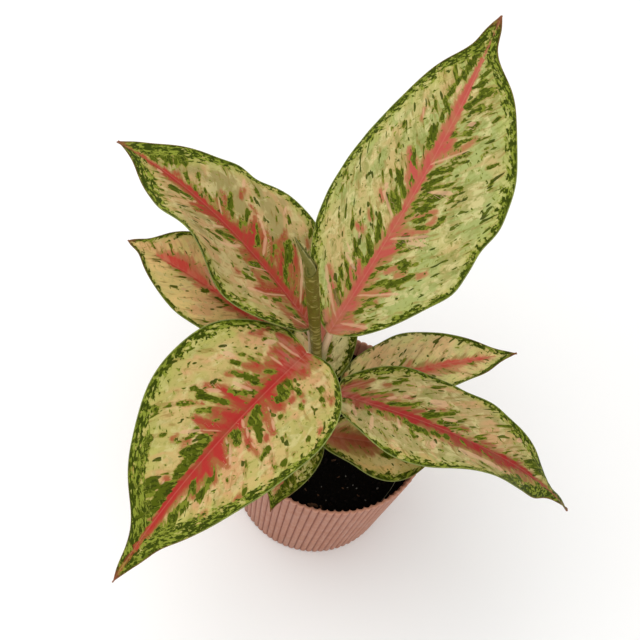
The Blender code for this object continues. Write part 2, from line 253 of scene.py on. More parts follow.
for i in range(DRAINS):
    angle = math.tau * i / DRAINS
    bpy.ops.mesh.primitive_cylinder_add(
        vertices=32, radius=DRAIN_RADIUS, depth=0.01,
        location=(DRAIN_CIRCLE * math.cos(angle), DRAIN_CIRCLE * math.sin(angle), 0))
    drill = bpy.context.object
    drill.select_set(False)
    bpy.context.view_layer.objects.active = pot
    pot.select_set(True)
    bpy.ops.object.modifier_add(type="BOOLEAN")
    pot.modifiers[-1].object = drill
    pot.modifiers[-1].solver = "EXACT"
    bpy.ops.object.modifier_apply(modifier=pot.modifiers[-1].name)
    bpy.data.objects.remove(drill, do_unlink=True)
mark(pot, "crest", rib_crest(points_of(pot)))

pot_plastic, tree, shader, spot = finish_of("dusty_pink_plastic", shine=0.3)
crest = read(tree, "crest")
height = place(tree, "SeparateXYZ", {0: spot}).outputs[2]
cloud = grain(tree, spot, 28, 4, 0.6)
flow = grain(tree, stretched(tree, spot, 1, 1, 0.12), 420, 3, 0.6)
colour = tint(tree, cloud, (0.350, 0.144, 0.088), (0.425, 0.188, 0.120))
colour = tint(tree, step(tree, flow, 0.35, 0.8, 0, 0.35), colour, (0.48, 0.240, 0.158))
# Painted shade: the grooves between the ribs are coloured darker.
groove_shade = minus(tree, 1.0, step(tree, crest, 0.0, 0.85))
colour = over(tree, groove_shade, 0.62, colour, (0.20, 0.052, 0.028))
# Painted highlight: a lighter pink band along the top of the rim.
collar = POT_HEIGHT - RIM_COLLAR
rim = step(tree, height, collar - 0.0008, collar + 0.0004)
colour = over(tree, rim, 0.45, colour, (0.58, 0.285, 0.19))
# Painted shade: the wall darkens towards its foot, broken up by noise.
shade_breakup = step(tree, grain(tree, spot, 90, 5, 0.7), 0.42, 0.7)
foot_shade = times(tree, step(tree, height, 0.03, 0.0), shade_breakup)
colour = over(tree, foot_shade, 0.4, colour, (0.30, 0.17, 0.12))
shade(
    tree, shader, colour, step(tree, grain(tree, spot, 160, 4, 0.6), 0.3, 0.7, 0.45, 0.65),
    grain(tree, spot, 1400, 3, 0.6), 0.00006)
fix_on(pot, "pot", "pot_plastic", pot_plastic)


# Potting mix: near-black peat, loose and lumpy, filling the pot to a finger below the rim, with crumbs of
# peat, chips of bark, a little perlite and one dry root hair lying on it.
SOIL_TOP = 0.089
SOIL_LUMP = 0.0022
SOIL_SIDES = 180
SOIL_RINGS = 56
SOIL_GAP = 0.0003
CRUMB_BUMP = 0.0007
soil_low, soil_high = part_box("soil")
soil_radius = soil_high.x


def soil_height(x, y):
    """The lumpy surface of the mix."""
    coarse = noise.noise(Vector((x, y, 0)) * 55)
    fine = noise.noise(Vector((x, y, 0.3)) * 160)
    return SOIL_TOP + SOIL_LUMP * (coarse + 0.6 * fine)


bpy.ops.mesh.primitive_circle_add(
    vertices=SOIL_SIDES, radius=soil_radius, fill_type="NGON", location=(0, 0, SOIL_TOP))
soil = begin("potting_mix")
bpy.ops.mesh.select_all(action="SELECT")
for i in range(SOIL_RINGS):
    bpy.ops.mesh.inset(thickness=soil_radius / (SOIL_RINGS + 1), depth=0)
bpy.ops.object.mode_set(mode="OBJECT")
on_rim = [math.hypot(vert.co.x, vert.co.y) > soil_radius - 1e-5 for vert in soil.data.vertices]
for face in soil.data.polygons:
    face.select = False
for edge in soil.data.edges:
    edge.select = all(on_rim[i] for i in edge.vertices)
for vert in soil.data.vertices:
    vert.select = on_rim[vert.index]
bpy.ops.object.mode_set(mode="EDIT")
bpy.ops.mesh.select_mode(type="EDGE")
bpy.ops.mesh.extrude_region_move(TRANSFORM_OT_translate={"value": (0, 0, soil_low.z - SOIL_TOP)})
foot_scale = (wall_radius(FLOOR) - WALL - RIB_DEPTH - SOIL_GAP) / soil_radius
bpy.ops.transform.resize(value=(foot_scale, foot_scale, 1))
bpy.ops.mesh.edge_face_add()
bpy.ops.mesh.select_all(action="SELECT")
bpy.ops.mesh.normals_make_consistent(inside=False)
close_up(soil, 80)
places = points_of(soil)
for i, (x, y, z) in enumerate(places):
    if z > SOIL_TOP - 0.001:
        crumb = noise.noise(Vector((x, y, 0.1)) * 420) * CRUMB_BUMP
        grit = noise.noise(Vector((x, y, 0.5)) * 900) * 0.0004
        places[i][2] = soil_height(x, y) + (crumb + grit)
set_points(soil, places)

peat, tree, shader, spot = finish_of("damp_peat", shine=0.04)
fine = grain(tree, spot, 700, 5, 0.7)
colour = tint(tree, fine, (0.0008, 0.0007, 0.0005), (0.005, 0.0036, 0.0024))
fibre = grain(tree, stretched(tree, spot, 1, 0.25, 1), 1500, 3, 0.6)
colour = tint(tree, step(tree, fibre, 0.66, 0.72, 0, 0.6), colour, (0.030, 0.020, 0.012))
colour = tint(tree, step(tree, grain(tree, spot, 1100, 2), 0.73, 0.76, 0, 0.8), colour, (0.09, 0.08, 0.07))
shade(tree, shader, colour, step(tree, fine, 0.3, 0.7, 0.95, 0.7), grain(tree, spot, 900, 6, 0.7), 0.0008)
fix_on(soil, "soil", "potting_mix", peat)

# What lies loose on it: how many, from what size to what, how flat, and from what colour to what.
crumbs = [
    ("peat_crumbs", 330, (0.0006, 0.002), (1, 0.85, 0.7), (0.0015, 0.0011, 0.0009), (0.009, 0.006, 0.0045)),
    ("bark_chips", 46, (0.0012, 0.0030), (1, 0.45, 0.3), (0.035, 0.018, 0.010), (0.12, 0.062, 0.034)),
    ("perlite_grains", 60, (0.0006, 0.0015), (1, 0.5, 0.45), (0.07, 0.067, 0.06), (0.24, 0.23, 0.21))]
CRUMB_POINTS = 12
CRUMB_SINK = 0.45
CRUMB_LEAN = 0.6
for crumb_name, count, (small, large), squash, dark, light in crumbs:
    rand = random.Random(crumb_name)
    loose = []
    bpy.ops.mesh.primitive_ico_sphere_add(subdivisions=1, radius=1)
    pattern = bpy.context.object
    pattern.select_set(False)
    for i in range(count):
        piece = pattern.copy()
        piece.data = pattern.data.copy()
        bpy.context.collection.objects.link(piece)
        away = (soil_radius - 0.003) * math.sqrt(rand.random())
        angle = rand.uniform(0, math.tau)
        x, y = away * math.cos(angle), away * math.sin(angle)
        size = small + (large - small) * rand.random() ** 2
        rough_out = np.array([rand.uniform(0.7, 1.25) for _ in range(CRUMB_POINTS)])
        shape = points_of(piece) * rough_out[:, None]
        shape *= np.array(squash) * size
        turned = Matrix.Rotation(rand.uniform(0, math.tau), 3, "Z")
        lean = turned @ Matrix.Rotation(rand.uniform(-CRUMB_LEAN, CRUMB_LEAN), 3, "X")
        shape = shape @ np.array(lean).T
        shape += np.array((x, y, soil_height(x, y) + size * squash[2] * CRUMB_SINK))
        set_points(piece, shape)
        loose.append(piece)
    bpy.data.objects.remove(pattern, do_unlink=True)
    for piece in loose:
        piece.select_set(True)
    bpy.context.view_layer.objects.active = loose[0]
    bpy.ops.object.join()
    heap = bpy.context.object
    heap.name = heap.data.name = crumb_name
    heap.select_set(False)
    finish, tree, shader, spot = finish_of(crumb_name + "_finish", shine=0.08)
    colour = tint(tree, grain(tree, spot, 260, 3), dark, light)
    rough = step(tree, grain(tree, spot, 500), 0.3, 0.7, 0.75, 0.95)
    shade(tree, shader, colour, rough, grain(tree, spot, 2600), 0.0002)
    fix_on(heap, "soil", "potting_mix", finish)

HAIR_ENDS = (Vector((0.0490, -0.0135, 0)), Vector((0.0440, -0.0340, 0)))
HAIR_RADIUS = 0.00030
HAIR_STEPS = 40
HAIR_BEND = 0.0012
HAIR_LIFT = 0.0016


def draw_tube(name, path, radii, sides):
    """A round tube along a path, as a curve with a bevel, turned into a mesh."""
    bpy.ops.curve.primitive_nurbs_path_add()
    curve = bpy.context.object
    curve.name = name
    shape = curve.data
    shape.splines.clear()
    spline = shape.splines.new("POLY")
    spline.points.add(len(path) - 1)
    for knot, place_of, radius in zip(spline.points, path, radii):
        knot.co = (*place_of, 1)
        knot.radius = radius
    shape.dimensions = "3D"
    shape.twist_mode = "MINIMUM"
    shape.bevel_depth = 1.0
    shape.bevel_resolution = sides // 4 - 1
    shape.resolution_u = 1
    shape.use_fill_caps = True
    bpy.ops.object.convert(target="MESH")
    tube = bpy.context.object
    tube.name = tube.data.name = name
    bpy.ops.object.mode_set(mode="EDIT")
    bpy.ops.mesh.select_all(action="SELECT")
    bpy.ops.mesh.remove_doubles(threshold=1e-6)
    bpy.ops.mesh.normals_make_consistent(inside=False)
    close_up(tube, 60)
    return tube


hair_path = []
hair_radii = []
for i in range(HAIR_STEPS + 1):
    t = i / HAIR_STEPS
    x, y, _ = HAIR_ENDS[0].lerp(HAIR_ENDS[1], t)
    x += HAIR_BEND * math.sin(math.pi * t)
    hair_path.append(Vector((x, y, soil_height(x, y) + 0.0002 + HAIR_LIFT * math.sin(math.pi * t) ** 2)))
    hair_radii.append(HAIR_RADIUS * (1 - 0.55 * t))
hair = draw_tube("root_hair", hair_path, hair_radii, 12)
hair_skin, tree, shader, spot = finish_of("root_hair_skin")
colour = tint(tree, grain(tree, spot, 900, 3), (0.05, 0.052, 0.036), (0.20, 0.20, 0.14))
rough = step(tree, grain(tree, spot, 1500), 0.3, 0.7, 0.6, 0.8)
shade(tree, shader, colour, rough, grain(tree, spot, 3000), 0.0001)
fix_on(hair, "soil", "potting_mix", hair_skin)


# Cane: a short olive stem, leaning a little, ringed by the scars of old leaves. It stands in the mix.
CANE_FOOT = Vector((-0.0075, 0.008, 0.050))
CANE_TOP = Vector((-0.0215, 0.008, 0.150))
CANE_FOOT_RADIUS = 0.0066
CANE_TOP_RADIUS = 0.0050
NODE_SPACING = 0.0125
NODE_SWELL = 0.0006
NODE_NOTCH = 0.00035
CANE_STEPS = 100
CANE_SIDES = 40


def nearest_on(path, places):
    """For each point: the share along the path, the nearest place on it and the path's direction there."""
    path = np.array(path)
    ends = path[1:] - path[:-1]
    spans = np.linalg.norm(ends, axis=1)
    starts = np.concatenate(([0], np.cumsum(spans)))
    best = np.full(len(places), np.inf)
    share = np.zeros(len(places))
    near = np.zeros((len(places), 3))
    ahead = np.zeros((len(places), 3))
    for i, (start, end, span) in enumerate(zip(path[:-1], ends, spans)):
        along = np.clip((places - start) @ end / span ** 2, 0, 1)
        foot = start + along[:, None] * end
        far = np.linalg.norm(places - foot, axis=1)
        closer = far < best
        best = np.where(closer, far, best)
        share = np.where(closer, (starts[i] + along * span) / starts[-1], share)
        near[closer] = foot[closer]
        ahead[closer] = end / span
    return share, near, ahead


cane_path = []
cane_radii = []
cane_length = (CANE_TOP - CANE_FOOT).length
for i in range(CANE_STEPS + 1):
    share = i / CANE_STEPS
    along = share * cane_length
    ring = (along / NODE_SPACING) % 1
    swell = NODE_SWELL * (max(0, 1 - abs(ring - 0.85) / 0.16)) ** 0.7
    notch = NODE_NOTCH * math.exp(-((ring - 0.99) / 0.03) ** 2)
    cane_path.append(CANE_FOOT.lerp(CANE_TOP, share))
    cane_radii.append(CANE_FOOT_RADIUS + (CANE_TOP_RADIUS - CANE_FOOT_RADIUS) * share + swell - notch)
cane = draw_tube("cane_stem", cane_path, cane_radii, CANE_SIDES)
share, near, ahead = nearest_on(cane_path, points_of(cane))
mark(cane, "rings", share * cane_length / NODE_SPACING)

cane_skin, tree, shader, spot = finish_of("olive_cane_skin")
rings = read(tree, "rings")
ring = reckon(tree, "FRACT", rings)
streak = grain(tree, stretched(tree, spot, 1, 1, 0.2), 520, 4, 0.6)
colour = tint(tree, streak, (0.10, 0.115, 0.030), (0.27, 0.27, 0.095))
scar = times(tree, step(tree, ring, 0.88, 0.95), step(tree, ring, 1.0, 0.97))
colour = over(tree, scar, 0.8, colour, (0.42, 0.36, 0.21))
colour = tint(tree, step(tree, ring, 0.975, 1.0, 0, 0.8), colour, (0.055, 0.040, 0.018))
colour = tint(tree, step(tree, grain(tree, spot, 900, 3), 0.6, 0.68, 0, 0.5), colour, (0.42, 0.40, 0.20))
shade(tree, shader, colour, step(tree, streak, 0.3, 0.7, 0.45, 0.62), grain(tree, spot, 1300, 4), 0.0003)
fix_on(cane, "cane", "cane_skin", cane_skin)


# Leaves: nine thin blades, each folded a little along its midrib and waved at its edges, on grooved
# petioles that clasp the cane. A blade is cream and lime, crimson along the midrib and blotched green.
MM = 0.001
MM_IN_CM = 0.1
SEED_STEP = 11.3
DROOP_POWER = 1.6
SWING_POWER = 1.5
NECK = 1.2
NECK_FADE = 0.8
BLADE_THICKNESS = 0.00062
RIM_SHARE = 0.6
CELL = 1.05
MARK_REACH = 6
STROKE_SOFT = 2.4
ROW_CROWD = 0.75
COLUMN_CROWD = 1.2
RUFFLE = 2.2
RUFFLE_RATE = 0.045
VEIN_SPACING = 9.0
VEIN_ARCH = 0.28
QUILT = 0.30
FURROW_WIDTH = 1.5
CHANNEL = 0.55
CHANNEL_FADE = 0.7
CHANNEL_WIDTH = 1.2

# Each leaf in millimetres and degrees. base, heading, rise, droop, swing, roll and twist give the
# midrib's course. length and width are the blade's, and shoulder, taper and pinch its outline. lobe draws
# the base back round the petiole. fold, curl, waves, left and right are its shape across: the waves'
# height and phase on each half. socket is the height on the cane that it leaves from. lean is how far the
# side veins run forward on the left and the right at the base, and what that gains by the tip. swells
# widen a half here and there: station, spread, and how much on the left and the right.
#
# midrib, band and flush are given left and right at stations along the blade: half widths of the red and
# of the green edge, and how far the coral flush beside the midrib reaches. reds, pinks and greens are
# strokes on the flat blade: from x, y to x, y and the half width at each end, x along the midrib and y
# out to the left. zone is how far the dark blotches reach on the left and the right, and how thickly they
# lie.
#
# ground and cloud are the warm and the lime ground colour, and lime says how much of the second there is
# on the left, on the right and toward the tip. From leaf to leaf their brightness is partly painted light:
# raised on the low leaves that lie in shade under the others and lowered on the top ones. pink is the
# crimson and coral its edge. veil is the strength of the pink veil, marble of the mottling, flecks how many
# lone dark flecks there are, and seed shifts the leaf's patterns.
LEAVES = {
    "leaf_low_back": dict(
        base=(-16, 18, 112), heading=113, rise=12, droop=22, swing=-6, roll=0, twist=0,
        length=98, width=46, shoulder=0.62, taper=1.15, pinch=(0.3, 0.92, 0.07), lobe=4,
        fold=12, curl=0.04, waves=2.2, left=(1.8, 0.2), right=(1.6, 0.5), socket=99, lean=(0.6, 0.6, 0.5),
        swells=[],
        midrib=[(0, 1.2, 1.2), (40, 1.6, 1.6), (80, 0.8, 0.8), (98, 0.2, 0.2)],
        band=[(0, 6, 6), (50, 5, 7), (98, 9, 9)],
        flush=[(0, 4, 4), (70, 4, 4), (98, 0, 0)],
        reds=[
            (14, 2, 19, 6, 1.6, 0.8), (32, -2, 38, -8, 2, 0.9), (48, 2, 54, 8, 1.6, 0.8),
            (60, -1, 64, -5, 1.3, 0.6)],
        pinks=[(20, 1, 30, 13, 0.5, 0.8), (44, -1, 52, -11, 0.5, 0.7)],
        greens=[
            (22, 4, 30, 10, 2.4, 1.6), (28, -4, 38, -12, 2.2, 1.8), (56, 4, 68, 8, 2.2, 1.6),
            (46, -5, 58, -9, 2, 1.5)],
        zone=(9, 9, 0.5), lime=(-0.12, 0.12, 0), veil=0.4, marble=0.5, flecks=0.4, seed=9.0,
        # Its ground and cloud are lightened as painted light, for it lies in shade between the other
        # leaves.
        ground=(0.8, 0.6, 0.32), cloud=(0.74, 0.67, 0.33), pink=(0.5, 0.16, 0.11), coral=(0.5, 0.24, 0.14)),
    "leaf_low_front": dict(
        base=(-12.5, -13, 109.5), heading=-96, rise=14, droop=30, swing=9, roll=3, twist=1,
        length=61, width=33, shoulder=0.63, taper=1.09, pinch=(0.23, 0.92, 0.08), lobe=5,
        fold=12.5, curl=0.09, waves=2.4, left=(0.8, 0.33), right=(1.2, 0.6), socket=97,
        lean=(0.7, 0.7, 0.5),
        swells=[],
        midrib=[(0, 1.2, 1.2), (25, 1.4, 1.2), (40, 0.4, 0.8), (50, -0.5, 0.2), (61, -2, -2)],
        band=[(0, 5, 4), (20, 6, 4), (36, 7, 5), (61, 6, 6)],
        flush=[(0, 5, 5), (30, 4, 5), (61, 0, 0)],
        reds=[(12, 2, 16, 6, 1.4, 0.7), (40, -1, 48, -2, 1.2, 1)],
        pinks=[(16, -6, 26, -9, 2.2, 2.4), (6, 4, 14, 7, 1.2, 1.4)],
        greens=[
            (22, 2, 32, -4, 2, 2.2), (30, -3, 40, -8, 2, 2), (40, 3, 54, 1, 2.5, 2),
            (7, -9, 9, -10, 1, 0.8), (24, 6, 40, 5, 2.5, 3)],
        zone=(12, 8, 0.4), lime=(0, 0, 0), veil=0.3, marble=0.5, flecks=0.5, seed=8.0,
        ground=(0.74, 0.62, 0.27), cloud=(0.62, 0.62, 0.24), pink=(0.4, 0.11, 0.055),
        coral=(0.46, 0.2, 0.09)),
    "leaf_back_right": dict(
        base=(-1, 10, 130), heading=31, rise=21.5, droop=21, swing=-1, roll=-2, twist=-4.5,
        length=106, width=48, shoulder=0.63, taper=1.18, pinch=(0.32, 0.9, 0.09), lobe=5,
        fold=17, curl=0.05, waves=1.06, left=(1.7, 0.72), right=(1.4, 0.58), socket=103,
        lean=(0.8, 0.6, 0.4),
        swells=[(27, 10, -1.5, 0), (86, 12, 0, 3), (93, 11, 1.2, 0)],
        midrib=[
            (0, 1, 1), (30, 1.3, 1.6), (42, 1.2, 2), (50, 1.2, 4.5), (56, 1.4, 5), (62, 1.6, 3),
            (74, 1, 2.6), (86, 0.5, 1.8), (90, -1, 0), (94, -2, -2), (106, -2, -2)],
        band=[(0, 1, 4), (55, 1.2, 3), (70, 3, 3), (85, 6, 4), (106, 6, 5)],
        flush=[(0, 9, 8), (26, 5, 6), (40, 3, 8), (60, 2, 8), (80, 1, 5), (95, -3, -3)],
        reds=[
            (14, 1, 18, 5, 1.3, 0.7), (27, -1, 32, -6, 1.6, 0.8), (36, 1, 42, 6, 1.0, 0.6),
            (70, -2, 73, -3, 1, 0.8)],
        pinks=[(34, 1, 41, 9, 0.4, 0.7), (50, -4, 58, -9, 0.5, 0.8)],
        greens=[(34, 4, 40, 8, 0.9, 0.7), (28, -4, 34, -9, 1.3, 1)],
        zone=(6, 5, 0.15), lime=(-0.02, 0.12, 0), veil=0.4, marble=0.3, flecks=0.05, seed=6.0,
        # Its ground and cloud are lightened as painted light, for it lies in shade under leaf_back.
        ground=(0.8, 0.58, 0.27), cloud=(0.64, 0.58, 0.215), pink=(0.58, 0.085, 0.06),
        coral=(0.56, 0.2, 0.1)),
    "leaf_low_right": dict(
        base=(-9, -21.5, 122), heading=11, rise=8, droop=22, swing=9, roll=-7, twist=-2,
        length=82, width=46, shoulder=0.93, taper=0.8, pinch=(0.36, 0.88, 0.1), lobe=5,
        fold=8, curl=0.1, waves=1.72, left=(1.2, 0.35), right=(4.5, 0.73), socket=109, lean=(0.4, 0.5, 0.4),
        swells=[(6, 6, 0, -1.5), (34, 9, 0, 2)],
        midrib=[(0, 1.5, 1.5), (14, 4, 5), (30, 3, 7), (38, 2, 5), (46, 0.8, 1.0), (82, 0.3, 0.3)],
        band=[(0, 4, 4), (30, 3, 4), (60, 4, 6), (82, 5, 5)],
        flush=[(0, 6, 8), (30, 6, 12), (45, 3, 6), (82, 0, 0)],
        reds=[(16, -3, 22, -9, 2.5, 1.2), (28, -4, 36, -9, 2, 1), (16, 2, 20, 7, 2, 0.8)],
        pinks=[(10, 3, 20, 12, 0.4, 0.8)],
        greens=[
            (42, -8, 66, -10, 1.8, 1.4), (50, -2, 58, -2, 1.2, 1), (36, 15, 40, 17, 1.6, 1.2),
            (48, 12, 60, 14, 1.4, 3)],
        zone=(8, 10, 0.25), lime=(0, 0.04, 0), veil=0.5, marble=0.35, flecks=0.1, seed=7.0,
        ground=(0.7, 0.46, 0.175), cloud=(0.59, 0.46, 0.16), pink=(0.3, 0.068, 0.03),
        coral=(0.34, 0.12, 0.05)),
    "leaf_left": dict(
        base=(-42, 10.8, 155), heading=171, rise=16.5, droop=23, swing=1, roll=1.5, twist=1,
        length=111.5, width=65, shoulder=0.71, taper=1.0, pinch=(0.3, 0.92, 0.07), lobe=5,
        fold=18, curl=0.03, waves=1.86, left=(1.9, 0.62), right=(1.9, 0.7), socket=112,
        lean=(0.7, 0.7, 0.5),
        swells=[(92, 12, -0.9, 0)],
        midrib=[
            (0, 1.5, 1.5), (20, 1.5, 1.5), (36, 4.5, 1.5), (50, 3.2, 1.5), (58, 2, 1.5), (66, 1.6, 4.5),
            (74, 1.8, 6), (82, 1.6, 6), (88, 1, 3.5), (91, 0, 0), (96, -2, -2), (112, -2, -2)],
        band=[(0, 7, 6), (45, 4, 4.5), (70, 3.2, 3.5), (90, 3.5, 4), (112, 2.5, 2.5)],
        flush=[(0, 8, 14), (30, 7, 13), (50, 6, 8), (70, 4, 8), (86, 1, 7), (95, -3, -3)],
        reds=[
            (14, 3, 21, 9, 1.6, 0.9), (24, -2, 32, -12, 2, 1.2), (38, 3, 42, 8, 1.4, 0.5),
            (58, 3, 63, 5, 0.7, 0.4), (68, -4, 74, -9, 1.2, 0.7)],
        pinks=[(52, -1, 64, -8, 0.5, 1), (10, 2, 20, 14, 0.5, 0.8), (64, 12, 68, 14, 1.2, 1)],
        greens=[
            (42, 9.5, 44, 11.5, 1.3, 1), (55.5, 3.5, 57.5, 4.5, 2, 1.8), (24, 5, 31, 12, 2.6, 2),
            (40, 3, 42, 5, 1, 0.7), (36, -8, 46, -14, 1.5, 1.2), (28, -12, 32, -18, 2, 1.6)],
        zone=(7, 8, 0.2), lime=(-0.04, -0.04, 0.08), veil=0.6, marble=0.2, flecks=0.12, seed=5.0,
        ground=(0.76, 0.53, 0.215), cloud=(0.66, 0.51, 0.19), pink=(0.56, 0.066, 0.046),
        coral=(0.56, 0.17, 0.09)),
    "leaf_right": dict(
        base=(-4.5, -8.5, 157), heading=-1, rise=13.5, droop=68, swing=3.5, roll=-13, twist=-8,
        length=166, width=66, shoulder=0.62, taper=1.22, pinch=(0.46, 0.89, 0.08), lobe=5,
        fold=14, curl=0.07, waves=1.99, left=(2.6, 0.04), right=(7.2, 0.18), socket=113,
        lean=(1.3, 0.4, 0.2),
        swells=[
            (105, 22, 1.5, 0), (118, 14, 0, -3.6), (128, 10, 1.2, 0), (138, 8, 0.6, -1.6),
            (153, 7, 1.3, 0.8)],
        midrib=[
            (0, 2, 1.5), (10, 3, 2), (20, 2, 2), (25, 3, 4), (32, 2, 3), (40, 3, 3), (50, 2, 5),
            (58, 1.5, 4), (65, 2, 6), (70, 0, 8), (76, -0.5, 9), (84, 0, 8), (90, 1, 8.5), (98, 1, 10),
            (104, 2, 8), (108, 2, 5), (118, 1.5, 2), (124, 0.5, 1.5), (140, 0.3, 1), (166, 0.3, 0.5)],
        band=[
            (0, 8, 3), (30, 7, 2.5), (50, 4, 6), (70, 3, 6), (90, 5, 4), (110, 9, 7), (130, 12, 10),
            (166, 9, 9)],
        flush=[
            (0, 8, 6), (20, 9, 8), (45, 7, 8), (70, 2, 11), (100, 3, 12), (112, 3, 11), (130, 1, 7),
            (166, -2, -2)],
        reds=[
            (4, 4, 12, 12, 2, 1.4), (12, 9, 18, 15, 1.4, 0.7), (25.5, 14, 28, 15, 0.9, 0.8),
            (18, 4, 30, 9, 1.4, 0.7), (38, 11, 42, 12, 1, 0.8), (36, 2, 44, 5.5, 2, 1),
            (44, 3, 51, 7, 1.2, 0.9), (51, 8, 61, 12.5, 0.9, 0.5), (74, 5, 77, 6, 1.1, 0.9),
            (87, 2.5, 95, 5, 0.5, 0.5), (38, -2, 48, -4, 3, 2.5), (60, -3, 60.5, -8, 2.5, 1.4),
            (71, -4, 73, -9, 3, 2), (84, -5, 86, -9, 2, 1), (93, -4, 100, -6, 3, 3),
            (13, -3, 15, -8, 1.5, 1.2)],
        pinks=[
            (52, 14, 62, 17, 2.2, 2.4), (28, 6, 34, 9, 1.1, 0.9), (62, 6, 70, 8.5, 1.4, 0.9),
            (36, 10, 40, 13, 1, 1.2), (108, 15, 112, 17, 2, 2), (12, -6, 18, -16, 0.9, 1.1),
            (25, -11, 28, -22, 0.9, 1.3), (60, -13, 61, -19, 1.6, 1.8), (75, -13, 98, -14, 2, 2.2),
            (38, -5, 41, -13, 0.8, 1)],
        greens=[
            (31, 3.5, 41, 7, 1.5, 1.3), (25, 7, 29, 8, 1.1, 1), (43, 6, 49, 12, 1.7, 1.3),
            (51, 3.5, 58, 7, 1.7, 2), (58, 7.5, 67, 12, 1.3, 0.8), (60, 3, 70, 6, 1.3, 1.2),
            (64, 14, 69, 15, 0.8, 0.7), (71, 10, 74, 12, 1, 0.8), (29, 17, 32, 18, 1.1, 1.1),
            (20, 17, 25, 19, 1, 1), (37, 19, 41, 19, 1.1, 1), (32, 21, 36, 23, 0.9, 0.9),
            (84, 4, 88, 6, 1.1, 1), (86, 1, 90, 1, 1.2, 1), (75, 1, 78, 1, 1, 0.8),
            (92, 17, 104, 21, 1.1, 1.2), (102, 4, 106, 7, 1.2, 1), (119, 6, 130, 9, 2.8, 4.2),
            (51, 25, 58, 29, 1, 1), (14, 3, 17, 5, 1, 0.8), (27, -5, 30, -8, 1.2, 1),
            (34, -9, 37, -12, 1.2, 1.3), (38, -11, 40, -15, 1.1, 1.1), (43, -7, 56, -9, 2.2, 2.6),
            (56, -8, 66, -7, 2, 1.9), (45, -10, 50, -15, 1.6, 1), (24, -10, 28, -14, 1, 1),
            (15, -14, 17, -16, 0.9, 0.9), (14, -18, 17, -22, 1.1, 1), (86, -11, 88, -13, 1.1, 1),
            (86, -17, 87, -19, 1.3, 1.1), (99, -22, 112, -10, 2.8, 3), (54, -21, 56, -22, 0.9, 0.8)],
        zone=(10, 10, 0.3), lime=(0, 0.02, 0), veil=0.55, marble=0.6, flecks=0.42, seed=4.0,
        ground=(0.43, 0.325, 0.14), cloud=(0.335, 0.28, 0.105), pink=(0.3, 0.023, 0.02),
        coral=(0.25, 0.06, 0.03)),
    "leaf_back_left": dict(
        base=(-31.5, 18, 171), heading=157.5, rise=26, droop=31.5, swing=12, roll=15, twist=2.5,
        length=155.5, width=87, shoulder=0.7, taper=1.16, pinch=(0.09, 0.91, 0.08), lobe=3,
        fold=17, curl=0.05, waves=2.03, left=(6.5, 0.18), right=(2.5, 0.58), socket=125,
        lean=(0.85, 0.85, 0.1),
        swells=[
            (40, 13, 0, 1.9), (83, 7, -0.8, -1.3), (96, 8, 0, 1.7), (104, 9, 1.3, 0), (128, 12, 0.7, 0.6),
            (148, 9, 1, 1.8)],
        midrib=[
            (0, 3, 4), (10, 4, 5), (20, 2.5, 3), (30, 2, 4), (40, 2, 5), (50, 2, 3), (57, 3, 4), (62, 1, 6),
            (70, 3, 5), (78, 4, 3), (86, 6, 2), (92, 9, 2), (98, 3, 2), (108, 4, 2), (116, 4.5, 1.5),
            (124, 3, 1), (130, 3.5, 0.5), (138, 1.5, 1), (148, 2, 1), (156, 1, 1)],
        band=[
            (0, 6, 6), (30, 7, 7), (60, 6, 4.5), (80, 5, 4), (100, 6, 7), (118, 11, 12), (135, 14, 14),
            (156, 9, 9)],
        flush=[
            (0, 12, 6), (12, 14, 9), (30, 15, 15), (48, 13, 17), (60, 9, 14), (72, 7, 7), (88, 8, 8),
            (100, 6, 3), (120, 4, 1), (156, -2, -2)],
        reds=[
            (3, 4, 9, 15, 1.6, 1.1), (28, 4, 34, 14, 3.4, 2.4), (33, 13, 38.5, 19, 2.4, 1.4),
            (37, 12, 41, 13, 1.4, 1), (52, 4, 53.5, 10, 2.6, 1.6), (57, 3, 59, 8, 1.3, 0.7),
            (66, 3, 68, 8, 1.3, 1), (78, 3, 80, 6, 2, 1), (51.5, 22, 53.5, 23, 1.1, 1),
            (88, 5, 92, 12, 3.4, 1.6), (94, 6, 96, 10, 2, 1.1), (16, -5, 17, -10, 1.8, 1.1),
            (22, -3, 28, -12, 2.6, 1.4), (29, -6, 34, -12, 1.6, 1), (34, -4, 45, -16, 2.2, 1.6),
            (31, -15, 36, -19, 2.1, 2.1), (37, -20, 41, -22, 1.3, 1.5), (44, -6, 50, -21, 1.4, 1.4),
            (48, -22, 52, -25, 0.9, 0.8), (51, -4, 58, -14, 1.6, 1.9), (60, -4, 65, -13, 5, 2.8),
            (65, -13, 68, -17, 1.8, 1), (68, -19, 74, -20.5, 0.9, 0.8), (80, -3, 86, -9, 1.3, 0.9),
            (87, -11, 91, -14, 1.1, 0.8), (82, -20, 84, -25, 1.1, 0.9), (116, -3, 118, -4, 1.3, 0.8),
            (37, -30, 40, -32, 1.2, 0.8)],
        pinks=[
            (4, 5, 14, 12, 0.5, 0.8), (24, 3, 33, 17, 0.5, 0.9), (33, 17, 42, 25, 0.9, 1),
            (41, 1, 50, 12, 0.5, 0.7), (61.5, 4, 64, 11, 1, 1.5), (64, 11, 70, 19, 1.4, 1),
            (75.5, 4, 80, 12, 0.9, 1.1), (96.5, 4, 97, 8, 1.4, 1.1), (121, 3.5, 126, 2.5, 1.4, 1.5),
            (15, -3, 26, -15, 0.6, 1), (26, -15, 34, -21, 1, 0.8), (49, -4, 56, -13, 0.8, 1.1),
            (56, -13, 68, -19, 1.1, 0.6), (82, -3, 90, -9, 0.6, 0.5), (85, -26, 88, -32, 1, 1.3),
            (58, -31, 61, -36, 0.8, 1)],
        greens=[
            (11, 5, 19, 9, 2.2, 1.7), (24, 10, 27, 14, 1.8, 1.5), (38, 5, 41, 9, 1.8, 2),
